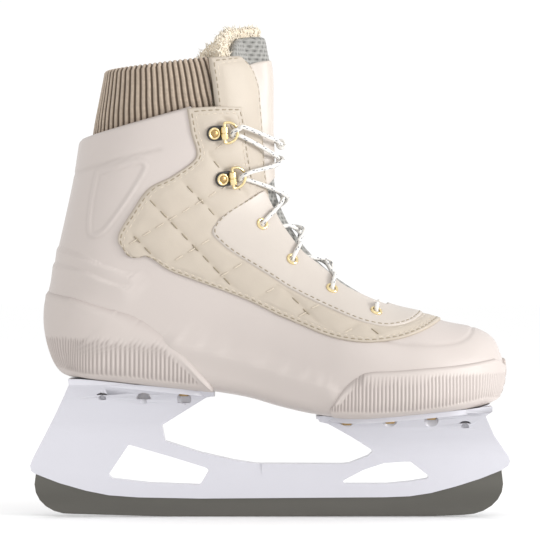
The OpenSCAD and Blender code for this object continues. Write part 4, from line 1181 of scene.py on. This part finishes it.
def half_route(side, level):
    return [
        [66.4, side * 5, 131], [65.6, side * 10.5, 129.4],
        seat(64.6, 126.2, 4.4, side), seat(64.1, 124.6, 3.4, side), seat(64, 124, 0.9, side),
        seat(63.4, 124.2, -LACE_DEPTH, side), seat(50.5, 130.6, -LACE_DEPTH, side),
        *eyelet_pass(2, 41, 136, 38.6, 143.6, side),
        [37.4, side * 9, 149.4], crossing(34.4, 154.4, side, level, [2.4, 0, 2.2]),
        [28, side * -9, 157.6],
        *eyelet_pass(1, 19, 159.6, 16.8, 162.4, -side),
        [17.6, side * -9.5, 168.2], crossing(18, 173.4, -side, level, [2.8, 0, 1.6]),
        [12, side * 10, 177.2],
        *eyelet_pass(0, 4.2, 177.2, 0.6, 183, side),
        [4.4, side * 10, 188.4], crossing(7.6, 193.4, side, level, [3, 0, 0.8]),
        [3.4, side * -10.5, 199],
        *ring_pass(1, -side),
        [1.4, side * -14, 213.2], crossing(5, 217, -side, level, [3, 0, 0.4]),
        [1.8, side * 13, 220.8],
        *ring_pass(0, side),
        [2.6, side * 13, 229.4], [5.6, side * 7.4, 227.4], [6.4, side * KNOT_W / 2, 227],
    ]


def even_path(points, step):
    points = np.array(points, float)
    fine = spline(points, np.linspace(0, len(points) - 1, 40 * len(points)))
    at = np.concatenate([[0], np.cumsum(np.linalg.norm(np.diff(fine, axis=0), axis=1))])
    want = np.linspace(0, at[-1], int(at[-1] / step))
    return np.stack([np.interp(want, at, fine[:, k]) for k in range(3)], -1)


LACE_SIDES, LACE_STEP, FLECK_PITCH, FLECK_L = 12, 0.75, 8.2, 1.7


def lace():
    one, two = half_route(LATERAL, 0), half_route(MEDIAL, 1)
    path = even_path(one[::-1] + two, LACE_STEP)

    def braid(k, length):
        turn = 2 * math.pi * k / LACE_SIDES
        return 0.885 + 0.08 * abs(math.sin(1.5 * turn + 1.1 * length)) \
            * abs(math.sin(1.5 * turn - 1.1 * length))

    verts, faces = swept(path, LACE_D / 2, LACE_SIDES, relief=braid)
    face_mats = []
    for n in range(len(faces)):
        length, k = n // LACE_SIDES * LACE_STEP, n % LACE_SIDES
        turn, at = divmod(length, FLECK_PITCH)
        first = at < FLECK_L and (k - int(turn) * 5) % 4 == 0
        second = 2.4 < at < 2.4 + FLECK_L and (k - 1 - int(turn) * 5) % 4 == 0
        face_mats.append(1 if first or second else 0)
    make("lace", verts, faces, ["lace", "fleck"], "lace", ["lace"], face_mats=face_mats)


def lace_knot():
    """A cord wound one and a half times round the two ends that go into it."""
    t = np.linspace(0, 1, 90)
    a = 2 * math.pi * 1.75 * t
    path = np.stack([6.9 + 2.1 * np.cos(a), KNOT_W * 0.3 * (2 * t - 1), 227 + 2.1 * np.sin(a)], -1)
    ends = np.linspace([6.7, -KNOT_W / 2, 227], [6.7, KNOT_W / 2, 227], 20)
    verts, faces = joined([swept(path, 1.25, LACE_SIDES), swept(ends, LACE_D / 2, LACE_SIDES)])
    make("lace_knot", verts, faces, "lace", "lace", ["lace_knot"])


# ---- Metal and plastic parts that keep the CAD shape, with their edges rounded ----
def rounded_copy(node, mat, width, angle=28, segments=2):
    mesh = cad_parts[node].data.copy()
    mesh.materials.clear()
    mesh.materials.append(MATS[mat])
    bm = bmesh.new()
    bm.from_mesh(mesh)
    bmesh.ops.remove_doubles(bm, verts=bm.verts, dist=2e-6)
    bmesh.ops.dissolve_limit(bm, angle_limit=math.radians(0.6), verts=bm.verts, edges=bm.edges)
    bm.to_mesh(mesh)
    bm.free()
    mesh.polygons.foreach_set("use_smooth", [True] * len(mesh.polygons))
    obj = bpy.data.objects.new(f"{node}_finished", mesh)
    bpy.context.scene.collection.objects.link(obj)
    bevel = obj.modifiers.new("edges", "BEVEL")
    bevel.width = width * MM
    bevel.segments = segments
    bevel.limit_method = "ANGLE"
    bevel.angle_limit = math.radians(angle)
    bevel.harden_normals = False
    normals = obj.modifiers.new("normals", "WEIGHTED_NORMAL")
    normals.keep_sharp = False
    normals.weight = 100
    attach(obj, "boot")
    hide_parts(node)
    return obj


def set_node_material(node, mat):
    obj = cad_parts[node]
    for slot in obj.material_slots:
        slot.material = MATS[mat]


# ---- Stage, camera and light ----
VIEW_H, CAMERA_H = 329.4, 150.3
CAMERA_LENS, SENSOR = 250, 36


def stage():
    mesh = bpy.data.meshes.new("floor")
    size = 14
    mesh.from_pydata([(-size, -size, 0), (size, -size, 0), (size, size, 0), (-size, size, 0)], [],
                     [(0, 1, 2, 3)])
    floor = bpy.data.objects.new("floor", mesh)
    bpy.context.scene.collection.objects.link(floor)
    mat = bpy.data.materials.new("floor_paper")
    mat.use_nodes = True
    bsdf = mat.node_tree.nodes["Principled BSDF"]
    bsdf.inputs["Base Color"].default_value = (0.97, 0.97, 0.97, 1)
    bsdf.inputs["Roughness"].default_value = 0.9
    bsdf.inputs["Specular IOR Level"].default_value = 0.0
    mesh.materials.append(mat)


def area_light(name, place, target, size, power, colour=(1, 1, 1)):
    data = bpy.data.lights.new(name, "AREA")
    data.energy = power
    data.size = size
    data.color = colour
    obj = bpy.data.objects.new(name, data)
    obj.location = place
    obj.rotation_euler = (Vector(target) - Vector(place)).to_track_quat("-Z", "Y").to_euler()
    bpy.context.scene.collection.objects.link(obj)


def camera_and_light():
    data = bpy.data.cameras.new("camera")
    data.lens = CAMERA_LENS
    data.sensor_width = SENSOR
    data.clip_end = 100
    camera = bpy.data.objects.new("camera", data)
    distance = VIEW_H * MM * CAMERA_LENS / SENSOR
    camera.location = (0, -distance, CAMERA_H * MM)
    camera.rotation_euler = (math.pi / 2, 0, 0)
    bpy.context.scene.collection.objects.link(camera)
    bpy.context.scene.camera = camera
    world = bpy.data.worlds.new("studio")
    bpy.context.scene.world = world
    world.use_nodes = True
    world.node_tree.nodes["Background"].inputs["Color"].default_value = (1, 1, 1, 1)
    world.node_tree.nodes["Background"].inputs["Strength"].default_value = 1.03
    area_light("side", (2.2, -0.85, 0.35), (0.02, 0, 0.1), 0.9, 46)
    area_light("key", (0.3, -1.6, 1.6), (0, 0, 0.12), 0.8, 3)
    bpy.context.scene.view_settings.view_transform = "Standard"


camera_and_light()
stage()
boot_shell()
heel_bumper()
toe_bumper()
quarter_grid = quarters()
stay_grid = eyestay()
panel_stitching(quarter_grid, stay_grid)
quilt_threads(quarter_grid)
collar_flap(LATERAL, "collar_flap_lateral")
collar_flap(MEDIAL, "collar_flap_medial")
knit_cuff()
liner()
tongue()
tongue_fur()
for side, word in ((LATERAL, "lateral"), (MEDIAL, "medial")):
    eyelets(side, f"eyelets_{word}")
    for number, level in enumerate(("upper", "lower")):
        hook(number, side, f"hook_{level}_{word}")
        ring(number, side, f"ring_{level}_{word}")
hook_rivets()
lace()
lace_knot()
rounded_copy("blade_holder", "holder", 0.9)
rounded_copy("runner", "steel", 0.25)
rounded_copy("runner_bolts", "fastener", 0.25)
rounded_copy("runner_nuts", "fastener", 0.3)
rounded_copy("footbed", "foam", 1.2, 40, 3)
rounded_copy("insole_board", "board", 0.4)
for node in ("rear_rivets", "front_rivets"):
    set_node_material(node, "rivet")
for node in ("rear_washers", "front_washers"):
    set_node_material(node, "fastener")

bpy.context.view_layer.update()
